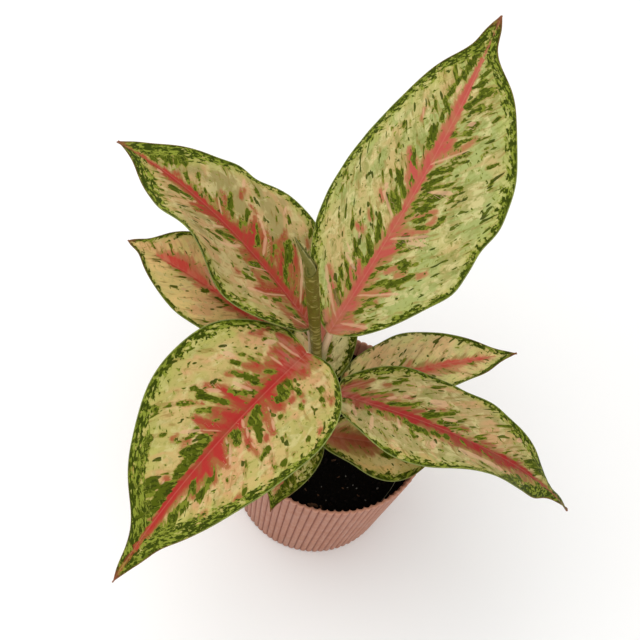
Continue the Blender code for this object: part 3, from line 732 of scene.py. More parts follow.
            (46, 5, 50, 8, 2.1, 2.1), (42, 17, 50, 20, 1.6, 1.4), (55, 7, 58, 14, 1.2, 1.1),
            (69, 7, 75, 13, 3.2, 2.7), (72, 16, 79, 20, 1.7, 1.7), (82, 4, 85, 7, 1.3, 1.2),
            (22, 24, 26, 25, 0.9, 0.9), (31, 19, 33, 20, 0.9, 0.8), (60, 1, 60, 3, 1, 0.8),
            (99, 6, 112, 8, 2, 2), (100, 10.5, 112, 10, 1, 1), (107, 22, 126, 19, 1.2, 1.3),
            (121, 12, 136, 8, 1.1, 1.6), (96, 27, 99, 27, 0.9, 0.8), (68, 25, 70, 28, 1, 1.2),
            (38, 33, 40, 36, 1.2, 1.2), (112, 17, 118, 17, 0.8, 0.8), (24, -4, 28, -8, 1.4, 1.3),
            (12, -5, 15, -8, 1.2, 1.1), (32, -7, 38, -14, 1.7, 2.2), (38, -14, 46, -22, 2.2, 1.7),
            (46, -9, 49, -13, 1.7, 1.5), (57, -6, 64, -14, 1.4, 1.4), (70, -9, 73, -16, 2, 1.8),
            (74, -4, 78, -8, 1.4, 1.5), (82, -8, 86, -17, 1.8, 1.6), (81, -4, 88, -9, 0.9, 0.8),
            (91, -5, 99, -7, 1.4, 1.3), (100, -3, 107, -12, 1.3, 1), (110, -5, 116, -7, 1, 1),
            (76, -22, 77, -25, 0.9, 0.9), (76, -29, 79, -31, 1.4, 1.3), (53, -31, 56, -32, 0.8, 0.7),
            (122, -9, 142, -4, 3, 2), (118, -13, 130, -14, 3, 3), (125, -3, 137, -3, 1.2, 1.2),
            (40, -35, 42, -38, 1.1, 1)],
        # Its ground and cloud are darkened as painted shade, and its lime on the right adds darker cloud as
        # painted shade on the rear half, which slopes away from the light.
        zone=(12, 14, 0.25), lime=(-0.08, 0.04, 0.1), veil=0.45, marble=0.25, flecks=0.1, seed=3.0,
        ground=(0.425, 0.312, 0.127), cloud=(0.305, 0.242, 0.091), pink=(0.36, 0.035, 0.026),
        coral=(0.29, 0.058, 0.024)),
    "leaf_front": dict(
        base=(-28, -2.5, 178), heading=-109, rise=10.5, droop=49.5, swing=5, roll=0.5, twist=10.5,
        length=165.5, width=97.5, shoulder=0.61, taper=1.23, pinch=(0.42, 0.85, 0.1), lobe=5.5,
        fold=18.5, curl=0.03, waves=0.9, left=(3.2, 0.83), right=(5.0, 0.03), socket=126,
        lean=(0.2, 0.2, 1.1),
        swells=[(72, 30, 0, 1.3), (130, 10, 2.6, 0), (143, 9, 2.2, 0), (150, 8, 0, -1)],
        midrib=[
            (0, 4, 6), (8, 5.5, 10), (16, 5, 9), (24, 4, 6), (30, 2, 5), (34, 1.6, 5), (42, 1, 2.2),
            (50, 1.5, 3), (60, 1.5, 5), (70, 1, 6), (76, 2, 3), (84, 4.5, 3), (92, 8, 2), (99, 8.5, 2.5),
            (104, 3.5, 3), (115, 2.6, 1.5), (130, 4, 0.5), (136, 2.5, 1), (145, 2, 1), (166, 1, 1)],
        band=[
            (0, 4, 4), (20, 6, 8), (45, 6, 8), (60, 6, 7), (85, 8, 9), (100, 11, 13), (115, 15, 16),
            (140, 20, 20), (166, 12, 12)],
        flush=[
            (0, 11, 20), (12, 12, 15), (24, 9, 13), (36, 15, 11), (48, 13, 10), (60, 11, 14), (72, 9, 14),
            (82, 10, 6), (98, 12, 5), (110, 5, 3), (140, 2, 1), (166, -2, -2)],
        reds=[
            (38, 3, 40.5, 13, 4.4, 3), (40, 13, 42.5, 17.5, 2, 0.8), (42, 1, 51, 12, 2.6, 1.6),
            (50, 11, 56.5, 21, 1.5, 1.9), (62, 2, 65, 8, 3.4, 1.7), (64, 9, 70, 17.5, 1.4, 1.8),
            (59.5, 20, 62, 22, 1, 0.8), (70, 20, 71, 24, 1.3, 0.9), (80, 3, 84, 14, 5, 1.4),
            (90, 5, 94, 15, 4, 1.5), (103, 10, 106, 10.5, 1, 1), (20, 3, 28, 4, 1.8, 1),
            (28, 17, 29, 18, 0.9, 0.7), (31, 21, 33, 22, 0.9, 0.8), (32.5, 15, 36, 16, 1.3, 0.9),
            (22, 32, 26, 35, 0.9, 0.5), (42, 41, 44, 42, 0.8, 0.5), (5, 4, 13, 7, 2.5, 3),
            (109, 22, 112, 22, 0.9, 0.7), (5, -4, 9, -17, 3, 1.8), (9, -4, 15, -12, 3.2, 2.2),
            (18, -3, 25, -10, 3, 1.5), (30, -13, 36, -18, 2.6, 1.6), (51.5, -3, 53.5, -17, 4.2, 2.3),
            (54, -19, 59, -24.5, 1.2, 1.5), (60, -3, 66, -13, 3.8, 1.6), (71, -4, 75, -16, 4, 2.3),
            (66, -20, 71, -25, 0.8, 0.7), (86, -12, 88, -13, 1.4, 1), (87, -18.5, 90, -19, 1, 0.9),
            (107, -8, 111, -7, 1.1, 1.5), (16, -25, 21, -29, 1.3, 1.2), (11, -24, 13, -25, 0.9, 0.7),
            (112, -29, 118, -24, 1.2, 1), (38, -15, 46, -21, 0.8, 1.2), (93, 32.5, 96, 32, 0.7, 0.5)],
        pinks=[
            (44, 7, 47, 11, 0.6, 0.5), (50, 15, 55, 21, 0.9, 0.8), (58, 1, 62, 6, 0.7, 1),
            (61, 7, 66, 12, 0.8, 0.8), (74, 7, 83, 15, 0.8, 0.9), (72, 2, 75, 6, 0.6, 0.8),
            (80, 10, 82, 10.5, 0.9, 0.8), (86, 12, 87, 14.5, 0.9, 1), (67, 15, 69, 20, 0.7, 0.6),
            (6, -1, 11, -14, 0.7, 0.8), (18, -4, 20, -12, 0.6, 0.8), (42, -6, 47, -16, 1.1, 1.2),
            (55, -17, 60, -23, 1.2, 1.2), (71, -3, 77, -11, 0.4, 0.4), (77, -11, 85, -18, 0.6, 1.4),
            (36, -25, 40, -31, 1.4, 1.4), (12, -16, 18, -20, 1.4, 1.4), (108, -8.5, 111, -8.5, 0.9, 0.9)],
        greens=[
            (27, 5, 34, 10, 4.2, 4.2), (26, 14, 29, 16, 1.3, 1), (46, 3, 55, 8, 2, 4.5),
            (56, 10, 64, 19, 3, 1.7), (67, 5, 71, 9, 3.7, 2.7), (46, 17, 47, 19, 1.6, 1.1),
            (65, 26, 70, 27, 1.1, 1.5), (48, 26, 50, 29, 0.9, 0.9), (25, 28, 27, 28, 1, 1),
            (50, 39, 51, 39.5, 0.9, 0.8), (33, 21, 38, 24, 0.8, 0.8), (14, 18, 15, 18, 0.8, 0.7),
            (17, 22, 20, 24, 0.7, 0.5), (78, 16.5, 81, 17, 0.9, 0.7), (89, 19, 90, 20, 1, 0.9),
            (60, 40, 62, 40, 1.4, 1.2), (68, 38, 72, 38, 1.5, 1.2), (88, 33, 92, 34, 1.2, 1),
            (94, 12, 104, 14, 1.6, 2.6), (101, 5, 109, 8, 1.3, 1.6), (112, 9, 124, 8, 3, 4),
            (126, 9, 140, 6, 3.6, 2.2), (115, 19, 122, 16, 1.1, 1.2), (106, 27, 112, 26, 1.1, 1),
            (13, -4, 15, -8, 1.1, 0.9), (25, -5, 29, -8, 1.5, 1.3), (35, -9, 43, -19, 2.6, 2.2),
            (37, -7, 40, -8, 2.1, 1.6), (42, -4, 48, -9, 1.3, 1.5), (49, -10, 51, -15, 1.4, 1.3),
            (57, -11, 65, -24, 2.3, 2.4), (66, -8, 69, -9, 1.4, 1.1), (66, -15, 72, -19, 1.4, 1.3),
            (48, -20, 51, -22, 1.3, 1.2), (37, -21, 40, -24, 1, 1), (68, -22, 75, -28, 0.9, 1.3),
            (76, -18, 79, -23, 1.2, 1), (79, -6, 92, -7, 3, 4.4), (92, -6, 108, -3, 3.2, 2.6),
            (78, -12.5, 86, -13, 1.3, 1.1), (87, -15, 90, -16, 1.3, 1.1), (91, -24, 92, -24, 1.5, 1.5),
            (110, -5, 138, -4, 3.5, 3), (113, -13, 128, -9, 4, 3.2), (98, -29, 118, -20, 2.6, 2.6),
            (21, -12, 25, -19, 1, 1), (26, -24, 27, -26, 1.1, 0.9), (64, -28, 66, -28, 1.1, 0.9),
            (9, -20, 10, -21, 0.9, 0.7), (16, -21, 18, -22, 0.8, 0.7), (85, -35, 92, -35, 1.6, 1.6)],
        zone=(14, 16, 0.25), lime=(-0.02, 0, 0.1), veil=0.75, marble=0.45, flecks=0.22, seed=2.0,
        ground=(0.52, 0.385, 0.145), cloud=(0.43, 0.375, 0.115), pink=(0.39, 0.03, 0.024),
        coral=(0.33, 0.062, 0.029)),
    "leaf_back": dict(
        base=(-21, 12.5, 181), heading=76.5, rise=34, droop=11, swing=13, roll=-16, twist=-4.5,
        length=203, width=104, shoulder=0.83, taper=1.18, pinch=(0.45, 0.91, 0.07), lobe=4,
        fold=6, curl=0.16, waves=1.2, left=(4.5, 0.17), right=(3.0, 0.1), socket=137,
        lean=(1.0, 0.75, 0.05),
        swells=[
            (54, 10, 0, 2.6), (80, 9, 0, -2), (96, 9, 0, 1), (114, 19, 0, 1.9), (141, 10, -1, 0),
            (174, 11, 1.8, -1.5), (190, 9, 1.2, 0)],
        midrib=[
            (0, 4, 5), (10, 4, 7), (20, 3, 8), (27, 2.5, 3.5), (36, 3, 3.5), (46, 3, 3), (52, 2, 6),
            (62, 2, 6), (70, 3, 5), (80, 2, 2), (90, 3, 1.5), (104, 5, 1.5), (112, 6, 2), (125, 4.5, 4),
            (135, 4, 3), (145, 4.5, 2), (155, 3, 1.3), (165, 1.8, 0.8), (178, 0.9, 0.4), (190, 0.2, 0),
            (203, 1, 1)],
        band=[
            (0, 6, 5), (30, 9, 6), (60, 6, 4.5), (90, 5, 5.5), (112, 9, 8.5), (126, 7, 7), (145, 9.5, 9),
            (160, 10, 11), (180, 11, 11), (203, 8, 8)],
        flush=[
            (0, 5, 5), (20, 6, 9), (34, 4, 8), (60, 5, 7), (80, 3, 6), (100, 5, 1), (120, 5, 7),
            (136, 1, 2), (160, -2, -2), (203, -2, -2)],
        reds=[
            (16, 5, 24, 13, 2, 1.8), (28, 16, 32, 22, 1.1, 1), (38, 4, 44, 7, 3.2, 2.2),
            (59.5, 16, 60, 21, 1.9, 1.4), (68, 15, 71, 18, 1.5, 0.9), (80, 14.5, 84, 18.5, 1.5, 1.4),
            (33, 6, 37, 10, 1.7, 1.3), (99, 5, 106, 10, 5, 3.6), (106, 10, 112.5, 15.5, 3.6, 1.3),
            (88, 2, 96, 4, 1.6, 2.6), (131, 18, 138, 19, 0.6, 0.5), (3, -4, 13, -8, 3, 2.2),
            (9, -9, 15, -16, 2.1, 1.6), (16, -4, 22, -5, 3, 2.6), (25, -11, 29, -15, 1.5, 1.4),
            (29, -6, 37, -17, 1.9, 2), (46, -10, 52, -15, 1.6, 1.3), (47, -17, 50, -20, 1.3, 1.2),
            (54, -4, 60, -8, 3.6, 2.8), (67, -5, 76, -18, 2.4, 1.1), (79, -8, 87, -17, 1.1, 1.3),
            (79, -18, 84, -19, 1.3, 1), (115, -3, 122, -12, 1.9, 1.9), (122, -12, 132, -17.5, 1.9, 0.8),
            (120, -4, 127, -5, 3.6, 2.6), (6, 5, 10, 9, 2, 1.4), (53, -28, 57, -31, 1.4, 1)],
        pinks=[
            (11, 3, 24, 17, 0.6, 1.2), (24, 17, 32, 24, 1.2, 0.8), (38, 7, 43, 17, 0.9, 0.9),
            (45, 15, 49, 20, 0.7, 0.6), (54, 15, 58, 17, 0.9, 0.8), (74, 4, 84, 17, 0.6, 1.1),
            (86, 16, 90, 18, 1.8, 1.8), (152, 6, 158, 5, 1.2, 0.8), (9, -4, 16, -18, 0.7, 1),
            (27, -4, 39, -23, 0.6, 0.8), (63, -3, 73, -20, 0.7, 1.1), (65, -12, 69, -22, 0.8, 1.2),
            (95, -8, 100, -20, 0.8, 1.5), (110, -1, 124, -16, 0.7, 0.5), (137, -9, 140, -13, 1.5, 1.5),
            (132, 17, 138, 20, 0.6, 0.6)],
        greens=[
            (17, 4, 22, 10, 2.1, 1.9), (16, 14, 21, 20, 0.9, 0.9), (28, 4, 34, 16, 1.9, 1.7),
            (33, 10, 38, 14, 1.1, 1), (46, 9, 52, 17, 1.7, 1.5), (51, 4, 58, 11, 2.3, 2.1),
            (58, 22.5, 61, 23, 1.3, 1.3), (60, 5, 72, 12, 2.3, 1.6), (77, 5, 82, 8, 1.6, 2.1),
            (82, 8, 94, 12, 1.9, 1.7), (86, 5, 98, 15, 2, 2), (92, 16, 96, 19, 1.6, 1.6),
            (88, 19, 94, 24, 0.9, 0.9), (60, 33.5, 63, 37, 1.3, 1.1), (73, 42, 78, 43, 1, 1),
            (82, 43, 85, 47, 1.1, 1.1), (108, 22.5, 112, 23.5, 1.2, 1), (123, 27, 126, 27, 1.2, 1),
            (119.5, 32, 121, 33, 1, 0.8), (117, 7, 126, 7, 1.9, 2.3), (126, 10, 129, 9, 1.3, 1.3),
            (127, 7, 144, 7, 1.6, 1.3), (136, 14, 144, 14, 1, 1), (147, 9.5, 162, 7, 1.7, 1.6),
            (164, 6, 182, 4, 2.5, 1.5), (32, -5, 37, -9, 1.3, 1.3), (38, -10, 44, -20, 1.9, 2.5),
            (44, -20, 52, -26, 2.3, 1.3), (46, -7, 56, -16, 1.7, 1.5), (52, -16, 58, -24, 1.5, 1.5),
            (62, -7, 67, -13, 1.7, 1.6), (70, -14, 73, -18, 1.1, 1.3), (62, -14, 67, -20, 1.4, 1.3),
            (77, -3, 83, -7, 1.4, 1.3), (84, -9, 91, -17, 1.4, 1.4), (76, -9, 80, -14, 1.3, 1.3),
            (78, -21, 86, -23, 1.1, 1.3), (86, -3, 95, -8, 1.7, 1.7), (91, -12, 98, -17, 1.6, 1.6),
            (97, -4, 104, -10, 2.3, 2.1), (106, -4, 111, -13, 1.7, 1.9), (94, -20, 103, -24, 1.3, 1.3),
            (113, -9, 121, -17, 1.3, 1.3), (125, -8, 130, -14, 2.1, 1.7), (131, -4, 139, -6, 1.5, 1.5),
            (125, -25, 128, -26, 1.1, 1.1), (121, -31, 124, -35, 1.3, 1.3), (111, -37, 115, -36, 1.2, 1.2),
            (143, -22, 147, -23, 1.2, 1.2), (146, -4, 158, -9, 2.1, 1.7), (150, -16, 160, -16, 1.1, 1.1),
            (160, -6, 178, -4, 2.5, 1.5)],
        zone=(22, 26, 0.36), lime=(-0.03, 0.1, 0.03), veil=0.28, marble=0.9, flecks=0.35, seed=1.0,
        ground=(0.455, 0.405, 0.15), cloud=(0.345, 0.382, 0.126), pink=(0.44, 0.08, 0.06),
        coral=(0.41, 0.135, 0.068)),
}


def half_width(leaf, t, on_left):
    """The width of one half of the blade at a share of its length, in mm."""
    peak = leaf["shoulder"] / (leaf["shoulder"] + leaf["taper"])
    outline = (t / peak) ** leaf["shoulder"] * ((1 - t) / (1 - peak)) ** leaf["taper"]
    depth, middle, spread = leaf["pinch"]
    outline = outline * (1 - depth * np.exp(-((t - middle) / spread) ** 2))
    half = np.maximum(leaf["width"] / 2 * outline, NECK - NECK_FADE * t)
    for station, spread, left, right in leaf["swells"]:
        hump = np.exp(-((t * leaf["length"] - station) / spread) ** 2)
        half = half + np.where(on_left, left, right) * hump
    return half


def midrib_course(leaf, shares):
    """Point, direction, side and normal of the midrib at each share of its length, in mm."""
    course = []
    point = np.array(leaf["base"], float)
    last = 0.0
    for t in shares:
        for share in ((last + t) / 2, t):
            heading = math.radians(leaf["heading"] + leaf["swing"] * share ** SWING_POWER)
            slope = math.radians(leaf["rise"] - leaf["droop"] * share ** DROOP_POWER)
            ahead = np.array(
                (math.cos(slope) * math.cos(heading), math.cos(slope) * math.sin(heading), math.sin(slope)))
            if share != t:
                point = point + ahead * (leaf["length"] * (t - last))
        last = t
        level = np.array((-math.sin(heading), math.cos(heading), 0))
        up = np.cross(ahead, level)
        roll = math.radians(leaf["roll"] + leaf["twist"] * t)
        side = level * math.cos(roll) + up * math.sin(roll)
        normal = up * math.cos(roll) - level * math.sin(roll)
        course.append((point.copy(), ahead, side, normal))
    return [np.array(column) for column in zip(*course)]


def vein_station(leaf, x, y, across, half):
    """Where on the midrib the side vein through a place leaves it, in mm."""
    left, right, gain = leaf["lean"]
    lean = np.where(y > 0, left, right)
    arch = VEIN_ARCH * half * np.abs(across) ** 5
    return (x - lean * np.abs(y) - arch) / (1 + gain * np.abs(y) / leaf["length"])


def reach_at(stations, x, y):
    """A width that is given on the left and the right at some stations, at any place on the flat blade."""
    knots, left, right = zip(*stations)
    return np.where(y > 0, np.interp(x, knots, left), np.interp(x, knots, right))


def channel_depth(t):
    """How deep the channel over the midrib is at a share of the blade's length, in mm."""
    return CHANNEL * (1 - CHANNEL_FADE * t)


def strokes(marks, x, y):
    """How deep inside some strokes a place lies, how far off the nearest line, and its half width."""
    depth = np.full(len(x), -9.0)
    off = np.full(len(x), 9.0)
    wide = np.zeros(len(x))
    for x0, y0, x1, y1, w0, w1 in marks:
        run = np.array((x1 - x0, y1 - y0), float)
        length = max(np.hypot(*run), 0.5)
        along = ((x - x0) * run[0] + (y - y0) * run[1]) / length ** 2
        share = np.clip(along, 0, 1)
        width = w0 + (w1 - w0) * share
        far = np.hypot(x - x0 - share * run[0], y - y0 - share * run[1])
        depth = np.maximum(depth, width - far)
        beside = ((y - y0) * run[0] - (x - x0) * run[1]) / length
        fade = np.clip(np.minimum(along + 0.1, 1.1 - along) * length / 2.5, 0, 1)
        near = (fade > 0) & (np.abs(beside) < 3.2) & (np.abs(beside) < np.abs(off))
        off = np.where(near, beside, off)
        wide = np.where(near, width * fade, wide)
    return depth, off, wide


def make_blade(name, leaf):
    """A grid bent to the blade's shape, with its surface coordinates and marks, and given its thickness."""
    rows = round(leaf["length"] / CELL)
    columns = round(leaf["width"] / CELL / 2) * 2
    bpy.ops.mesh.primitive_grid_add(x_subdivisions=rows, y_subdivisions=columns, size=2)
    blade = bpy.context.object
    blade.name = blade.data.name = name
    grid = points_of(blade)
    row = np.rint((grid[:, 0] + 1) / 2 * rows).astype(int)
    across = np.sign(grid[:, 1]) * np.abs(grid[:, 1]) ** COLUMN_CROWD
    even = np.arange(rows + 1) / rows
    shares = np.clip(even - ROW_CROWD * np.sin(math.tau * even) / math.tau, 0, 1)
    point, ahead, side, normal = (column[row] for column in midrib_course(leaf, shares))
    t = shares[row]
    half = half_width(leaf, t, across > 0)
    x = t * leaf["length"]
    y = across * half
    out = np.abs(across)
    fold = math.radians(leaf["fold"])
    height = np.where(across > 0, leaf["left"][0], leaf["right"][0])
    phase = np.where(across > 0, leaf["left"][1], leaf["right"][1])
    swing = np.sqrt(np.clip(np.sin(math.pi * t), 0, 1))
    wave = height * swing * np.sin(math.tau * (leaf["waves"] * t + phase))
    seed = leaf["seed"]
    ruffle = np.array([
        noise.noise(Vector((along * RUFFLE_RATE, 7 * seed + (3 if beside > 0 else 0), 0)))
        for along, beside in zip(x, y)])
    station = vein_station(leaf, x, y, across, half)
    offset = np.where(y > 0, 0.0, 0.5)
    off_vein = (((station / VEIN_SPACING + offset) % 1) - 0.5) * VEIN_SPACING
    furrow = np.exp(-(off_vein / FURROW_WIDTH) ** 2)
    furrow = furrow * np.clip(np.abs(y) / 4, 0, 1) * np.clip((1 - out) * 4, 0, 1)
    lift = out * half * math.sin(fold) + across ** 2 * (wave - leaf["curl"] * half)
    lift = lift + out ** 3 * ruffle * RUFFLE * swing - QUILT * furrow
    lift = lift - channel_depth(t) * np.exp(-(y / CHANNEL_WIDTH) ** 2)
    back = leaf["lobe"] * across ** 2 * (1 - t) ** 6 * np.minimum(1, half / (leaf["width"] / 6))
    bent = point + side * (y * math.cos(fold))[:, None] + normal * lift[:, None] - ahead * back[:, None]
    set_points(blade, bent * MM)
    corners = np.zeros(len(blade.data.loops), int)
    blade.data.loops.foreach_get("vertex_index", corners)
    while blade.data.uv_layers:
        blade.data.uv_layers.remove(blade.data.uv_layers[0])
    for layer_name, u, v in (("flat", x, y), ("vein", station, y), ("share", t, out)):
        layer = blade.data.uv_layers.new(name=layer_name)
        pairs = np.stack((u, v), 1)[corners] * (1 if layer_name == "share" else MM_IN_CM)
        layer.uv.foreach_set("vector", pairs.astype(np.float32).ravel())
    midrib, band, flush = (reach_at(leaf[key], x, y) for key in ("midrib", "band", "flush"))
    red = np.maximum(midrib - np.abs(y), strokes(leaf["reds"], x, y)[0])
    mark(blade, "red", np.clip(red, -MARK_REACH, MARK_REACH))
    mark(blade, "flush", flush - np.abs(y))
    left, right, strength = leaf["zone"]
    zone = np.where(y > 0, left, right)
    depth = strength * np.clip((zone - np.abs(y)) / zone * 2.5, 0, 1) * np.clip(np.abs(y) / 3, 0, 1)
    green = np.clip(0.5 + strokes(leaf["greens"], x, y)[0] / STROKE_SOFT, 0, 1)
    mark(blade, "green", np.maximum(depth, green))
    _, off, wide = strokes(leaf["pinks"], x, y)
    mark(blade, "line", off)
    mark(blade, "pale", wide)
    mark(blade, "edge", np.clip((half - np.abs(y)) / band, 0, 2))
    mark(blade, "margin", half - np.abs(y))
    left, right, tip = leaf["lime"]
    mark(blade, "lime", np.interp(y, (-8, 8), (right, left)) + tip * t ** 2)
    thickness = blade.vertex_groups.new(name="thickness")
    for i, far in enumerate(out):
        thickness.add([i], RIM_SHARE + (1 - RIM_SHARE) * (1 - far) ** 2, "REPLACE")
    bpy.ops.object.modifier_add(type="SOLIDIFY")
    solid = blade.modifiers[-1]
    solid.thickness = BLADE_THICKNESS
    solid.offset = -1
    solid.vertex_group = "thickness"
    solid.material_offset = 1
    solid.material_offset_rim = 1
    bpy.ops.object.modifier_apply(modifier=solid.name)
    return blade


COORDINATES = ("Flat", "Vein", "Share")
MARKS = ("Red", "Green", "Edge", "Margin", "Line", "Pale", "Lime", "Flush")
AMOUNTS = ("Seed", "Veil", "Marble", "Flecks")
COLOURS = ("Ground", "Cloud", "Pink", "Coral")


def make_variegation():
    """The blade's colouring as one group of nodes.

    Its coordinates are the flat blade's, in centimetres, or run along the side veins.
    """
    group = bpy.data.node_groups.new("variegation", "ShaderNodeTree")
    for kind, sockets in (("Vector", COORDINATES), ("Float", (*MARKS, *AMOUNTS)), ("Color", COLOURS)):
        for socket in sockets:
            group.interface.new_socket(socket, in_out="INPUT", socket_type="NodeSocket" + kind)
    for socket, kind in (("Color", "Color"), ("Roughness", "Float"), ("Height", "Float")):
        group.interface.new_socket(socket, in_out="OUTPUT", socket_type="NodeSocket" + kind)
    given = group.nodes.new("NodeGroupInput").outputs
    station, out = place(group, "SeparateXYZ", {0: given["Vein"]}).outputs[:2]
    x, y = place(group, "SeparateXYZ", {0: given["Flat"]}).outputs[:2]
    t = place(group, "SeparateXYZ", {0: given["Share"]}).outputs[0]
    far = reckon(group, "ABSOLUTE", y)
    layer = times(group, given["Seed"], SEED_STEP)
    inward = plus(group, times(group, given["Margin"], MM_IN_CM), reckon(group, "SIGN", y))

    def pattern(first, second, along, across, shift, *look):
        """A noise over two coordinates, moved on by its own shift and the leaf's seed."""
        spread = (times(group, first, along), times(group, second, across), plus(group, layer, shift))
        return grain(group, place(group, "CombineXYZ", dict(enumerate(spread))).outputs[0], 1.0, *look)

    def streaks(*look):
        """A noise drawn out along the side veins, so many to a centimetre along the midrib and out."""
        return pattern(station, out, *look)

    def spots(*look):
        """A noise that lies straight on the flat blade."""
        return pattern(x, y, *look)

    def fringe(*look):
        """A noise drawn out along the blade's edge."""
        return pattern(x, inward, *look)

    def centred(value, gain):
        """A noise turned to run evenly above and below nothing."""
        return times(group, minus(group, value, 0.5), gain)

    # The ground: warm and lime clouds, a pink veil, cream glows, a green verge and some mottling.
    lime = step(group, plus(group, spots(0.5, 0.65, 0.3, 2.5, 0.5, 0.5), given["Lime"]), 0.42, 0.58)
    colour = tint(group, lime, given["Ground"], given["Cloud"])
    veil = minus(group, streaks(0.8, 0.42, 3.1, 2.5, 0.5, 0.5), times(group, lime, 0.07))
    colour = over(group, step(group, veil, 0.44, 0.58), given["Veil"], colour, (0.58, 0.290, 0.145))
    glow = step(group, spots(1.0, 1.3, 4.7, 3, 0.58, 0.8), 0.51, 0.62)
    amount = plus(group, 0.30, times(group, given["Marble"], 0.40))
    colour = over(group, glow, amount, colour, (0.61, 0.54, 0.25))
    verge = step(group, plus(group, given["Edge"], centred(spots(1.5, 1.5, 7.3, 2), 2.0)), 1.7, 0.5)
    colour = over(group, verge, 0.45, colour, (0.40, 0.42, 0.085))
    where = step(group, spots(0.7, 0.9, 6.1, 2), 0.38, 0.54)
    smear = step(group, streaks(1.7, 1.4, 5.3, 3, 0.58, 0.6), 0.48, 0.60)
    wash = times(group, times(group, smear, where), given["Marble"])
    colour = over(group, wash, 0.62, colour, (0.20, 0.215, 0.045))
    speckled = step(group, spots(3.0, 3.8, 5.9, 3, 0.58, 0.5), 0.55, 0.64)
    colour = over(group, times(group, speckled, given["Marble"]), 0.55, colour, (0.19, 0.205, 0.040))

    # The coral flush beside the midrib.
    blood = plus(group, given["Flush"], centred(streaks(3.0, 0.8, 35.3, 3, 0.58), 13.0))
    singe = step(group, streaks(2.7, 1.2, 39.1, 2.5, 0.55), 0.42, 0.60)
    ember = tint(group, singe, given["Coral"], (0.30, 0.19, 0.050))
    colour = over(group, step(group, blood, -2.2, 0.8), 0.78, colour, ember)

    # The red along the midrib, feathered out along the side veins.
    feather = centred(streaks(3.0, 0.8, 29.3, 2.5, 0.55), 4.2)
    deep = plus(group, given["Red"], feather)
    faded = plus(group, deep, centred(streaks(6.5, 2.2, 30.9, 3, 0.6), 2.8))
    colour = over(group, step(group, faded, -1.7, 0.1), 0.62, colour, given["Coral"])
    russet = tint(group, 0.45, given["Coral"], (0.32, 0.165, 0.040))
    coral = tint(group, step(group, streaks(2.4, 0.9, 31.0, 2), 0.44, 0.60), given["Coral"], russet)
    depth = step(group, faded, 0.0, 2.4, 0.70, 1.0)
    colour = over(group, step(group, faded, -0.2, 0.2), depth, colour, coral)

    # The dark blotches that follow the side veins.
    blotch = centred(streaks(2.7, 1.35, 11.9, 2.2, 0.5), 2.4)
    crowd = plus(group, times(group, given["Green"], 0.80), blotch)
    tone = centred(streaks(4.6, 2.8, 23.7, 2, 0.6), 3.0)
    shadow = step(group, plus(group, crowd, centred(streaks(4.0, 2.0, 25.1, 2), 0.8)), 0.16, 0.44)
    colour = over(group, shadow, 0.55, colour, tint(group, 0.35, (0.20, 0.185, 0.028), given["Coral"]))
    inside = plus(group, crowd, tone)
    dark = tint(group, step(group, tone, -0.16, 0.16), (0.034, 0.048, 0.001), (0.072, 0.094, 0.003))
    green = tint(group, step(group, inside, 0.44, 0.64), (0.165, 0.190, 0.016), dark)
    patch = step(group, crowd, 0.43, 0.50)
    colour = tint(group, patch, colour, green)

    # The specks that crowd into a green edge, and a few lone flecks.
    speck = fringe(3.4, 4.2, 17.3, 3, 0.58, 0.3)
    density = reckon(group, "SUBTRACT", 1.0, given["Edge"], True)
    density = times(group, reckon(group, "POWER", density, 0.75), 0.345)
    thick = plus(group, speck, density)
    colour = over(group, step(group, thick, 0.57, 0.66), 0.6, colour, (0.22, 0.235, 0.032))
    edge_tone = fringe(3.6, 6.0, 37.7, 2, 0.6)
    edge_dark = step(group, edge_tone, 0.46, 0.54)
    edge_dark = tint(group, edge_dark, (0.034, 0.050, 0.001), (0.080, 0.108, 0.004))
    edge_green = tint(group, step(group, edge_tone, 0.51, 0.57), edge_dark, (0.22, 0.255, 0.030))
    colour = tint(group, step(group, thick, 0.645, 0.685), colour, edge_green)
    solid = step(group, minus(group, given["Margin"], centred(speck, 9.0)), 2.3, 1.2)
    solid = times(group, solid, step(group, fringe(1.1, 0.4, 19.9, 2), 0.40, 0.52, 0.25, 1.0))
    colour = over(group, solid, 0.9, colour, edge_dark)
    few = plus(group, streaks(2.4, 1.8, 8.9, 1.3, 0.5), times(group, given["Flecks"], 0.11))
    colour = over(group, step(group, few, 0.690, 0.715), 0.95, colour, dark)

    # The crimson at the heart of the red.
    core = times(group, step(group, deep, 0.7, 2.4), minus(group, 1.0, patch))
    middle = times(group, step(group, deep, -0.3, 0.3), step(group, far, 0.42, 0.14))
    core = reckon(group, "MAXIMUM", core, times(group, middle, step(group, t, 0.74, 0.96, 1.0, 0.35)))
    crimson = step(group, streaks(2.2, 1.0, 41.0, 3), 0.40, 0.68)
    crimson = tint(group, crimson, given["Pink"], given["Coral"])
    colour = tint(group, core, colour, crimson)
    rosy = times(group, step(group, faded, -0.8, 0.8), step(group, x, 3.2, 0.4))
    dusty = step(group, streaks(4.0, 1.0, 47.0, 2.5, 0.6), 0.40, 0.66)
    dusty = tint(group, dusty, given["Coral"], (0.47, 0.19, 0.125))
    colour = over(group, rosy, 0.55, colour, dusty)

    # The pale pink strokes and the spine of the midrib.
    away = reckon(group, "ABSOLUTE", plus(group, given["Line"], centred(streaks(1.6, 1.2, 43.0, 3), 1.6)))
    line = step(group, minus(group, given["Pale"], away), -0.3, 0.5)
    blush = tint(group, streaks(3.0, 1.2, 45.0, 2), (0.66, 0.32, 0.20), (0.62, 0.42, 0.24))
    colour = over(group, line, 0.64, colour, blush)
    spine = times(group, step(group, far, 0.05, 0.012), step(group, given["Red"], -0.5, 0.5))
    colour = over(group, spine, 0.16, colour, (0.66, 0.27, 0.20))

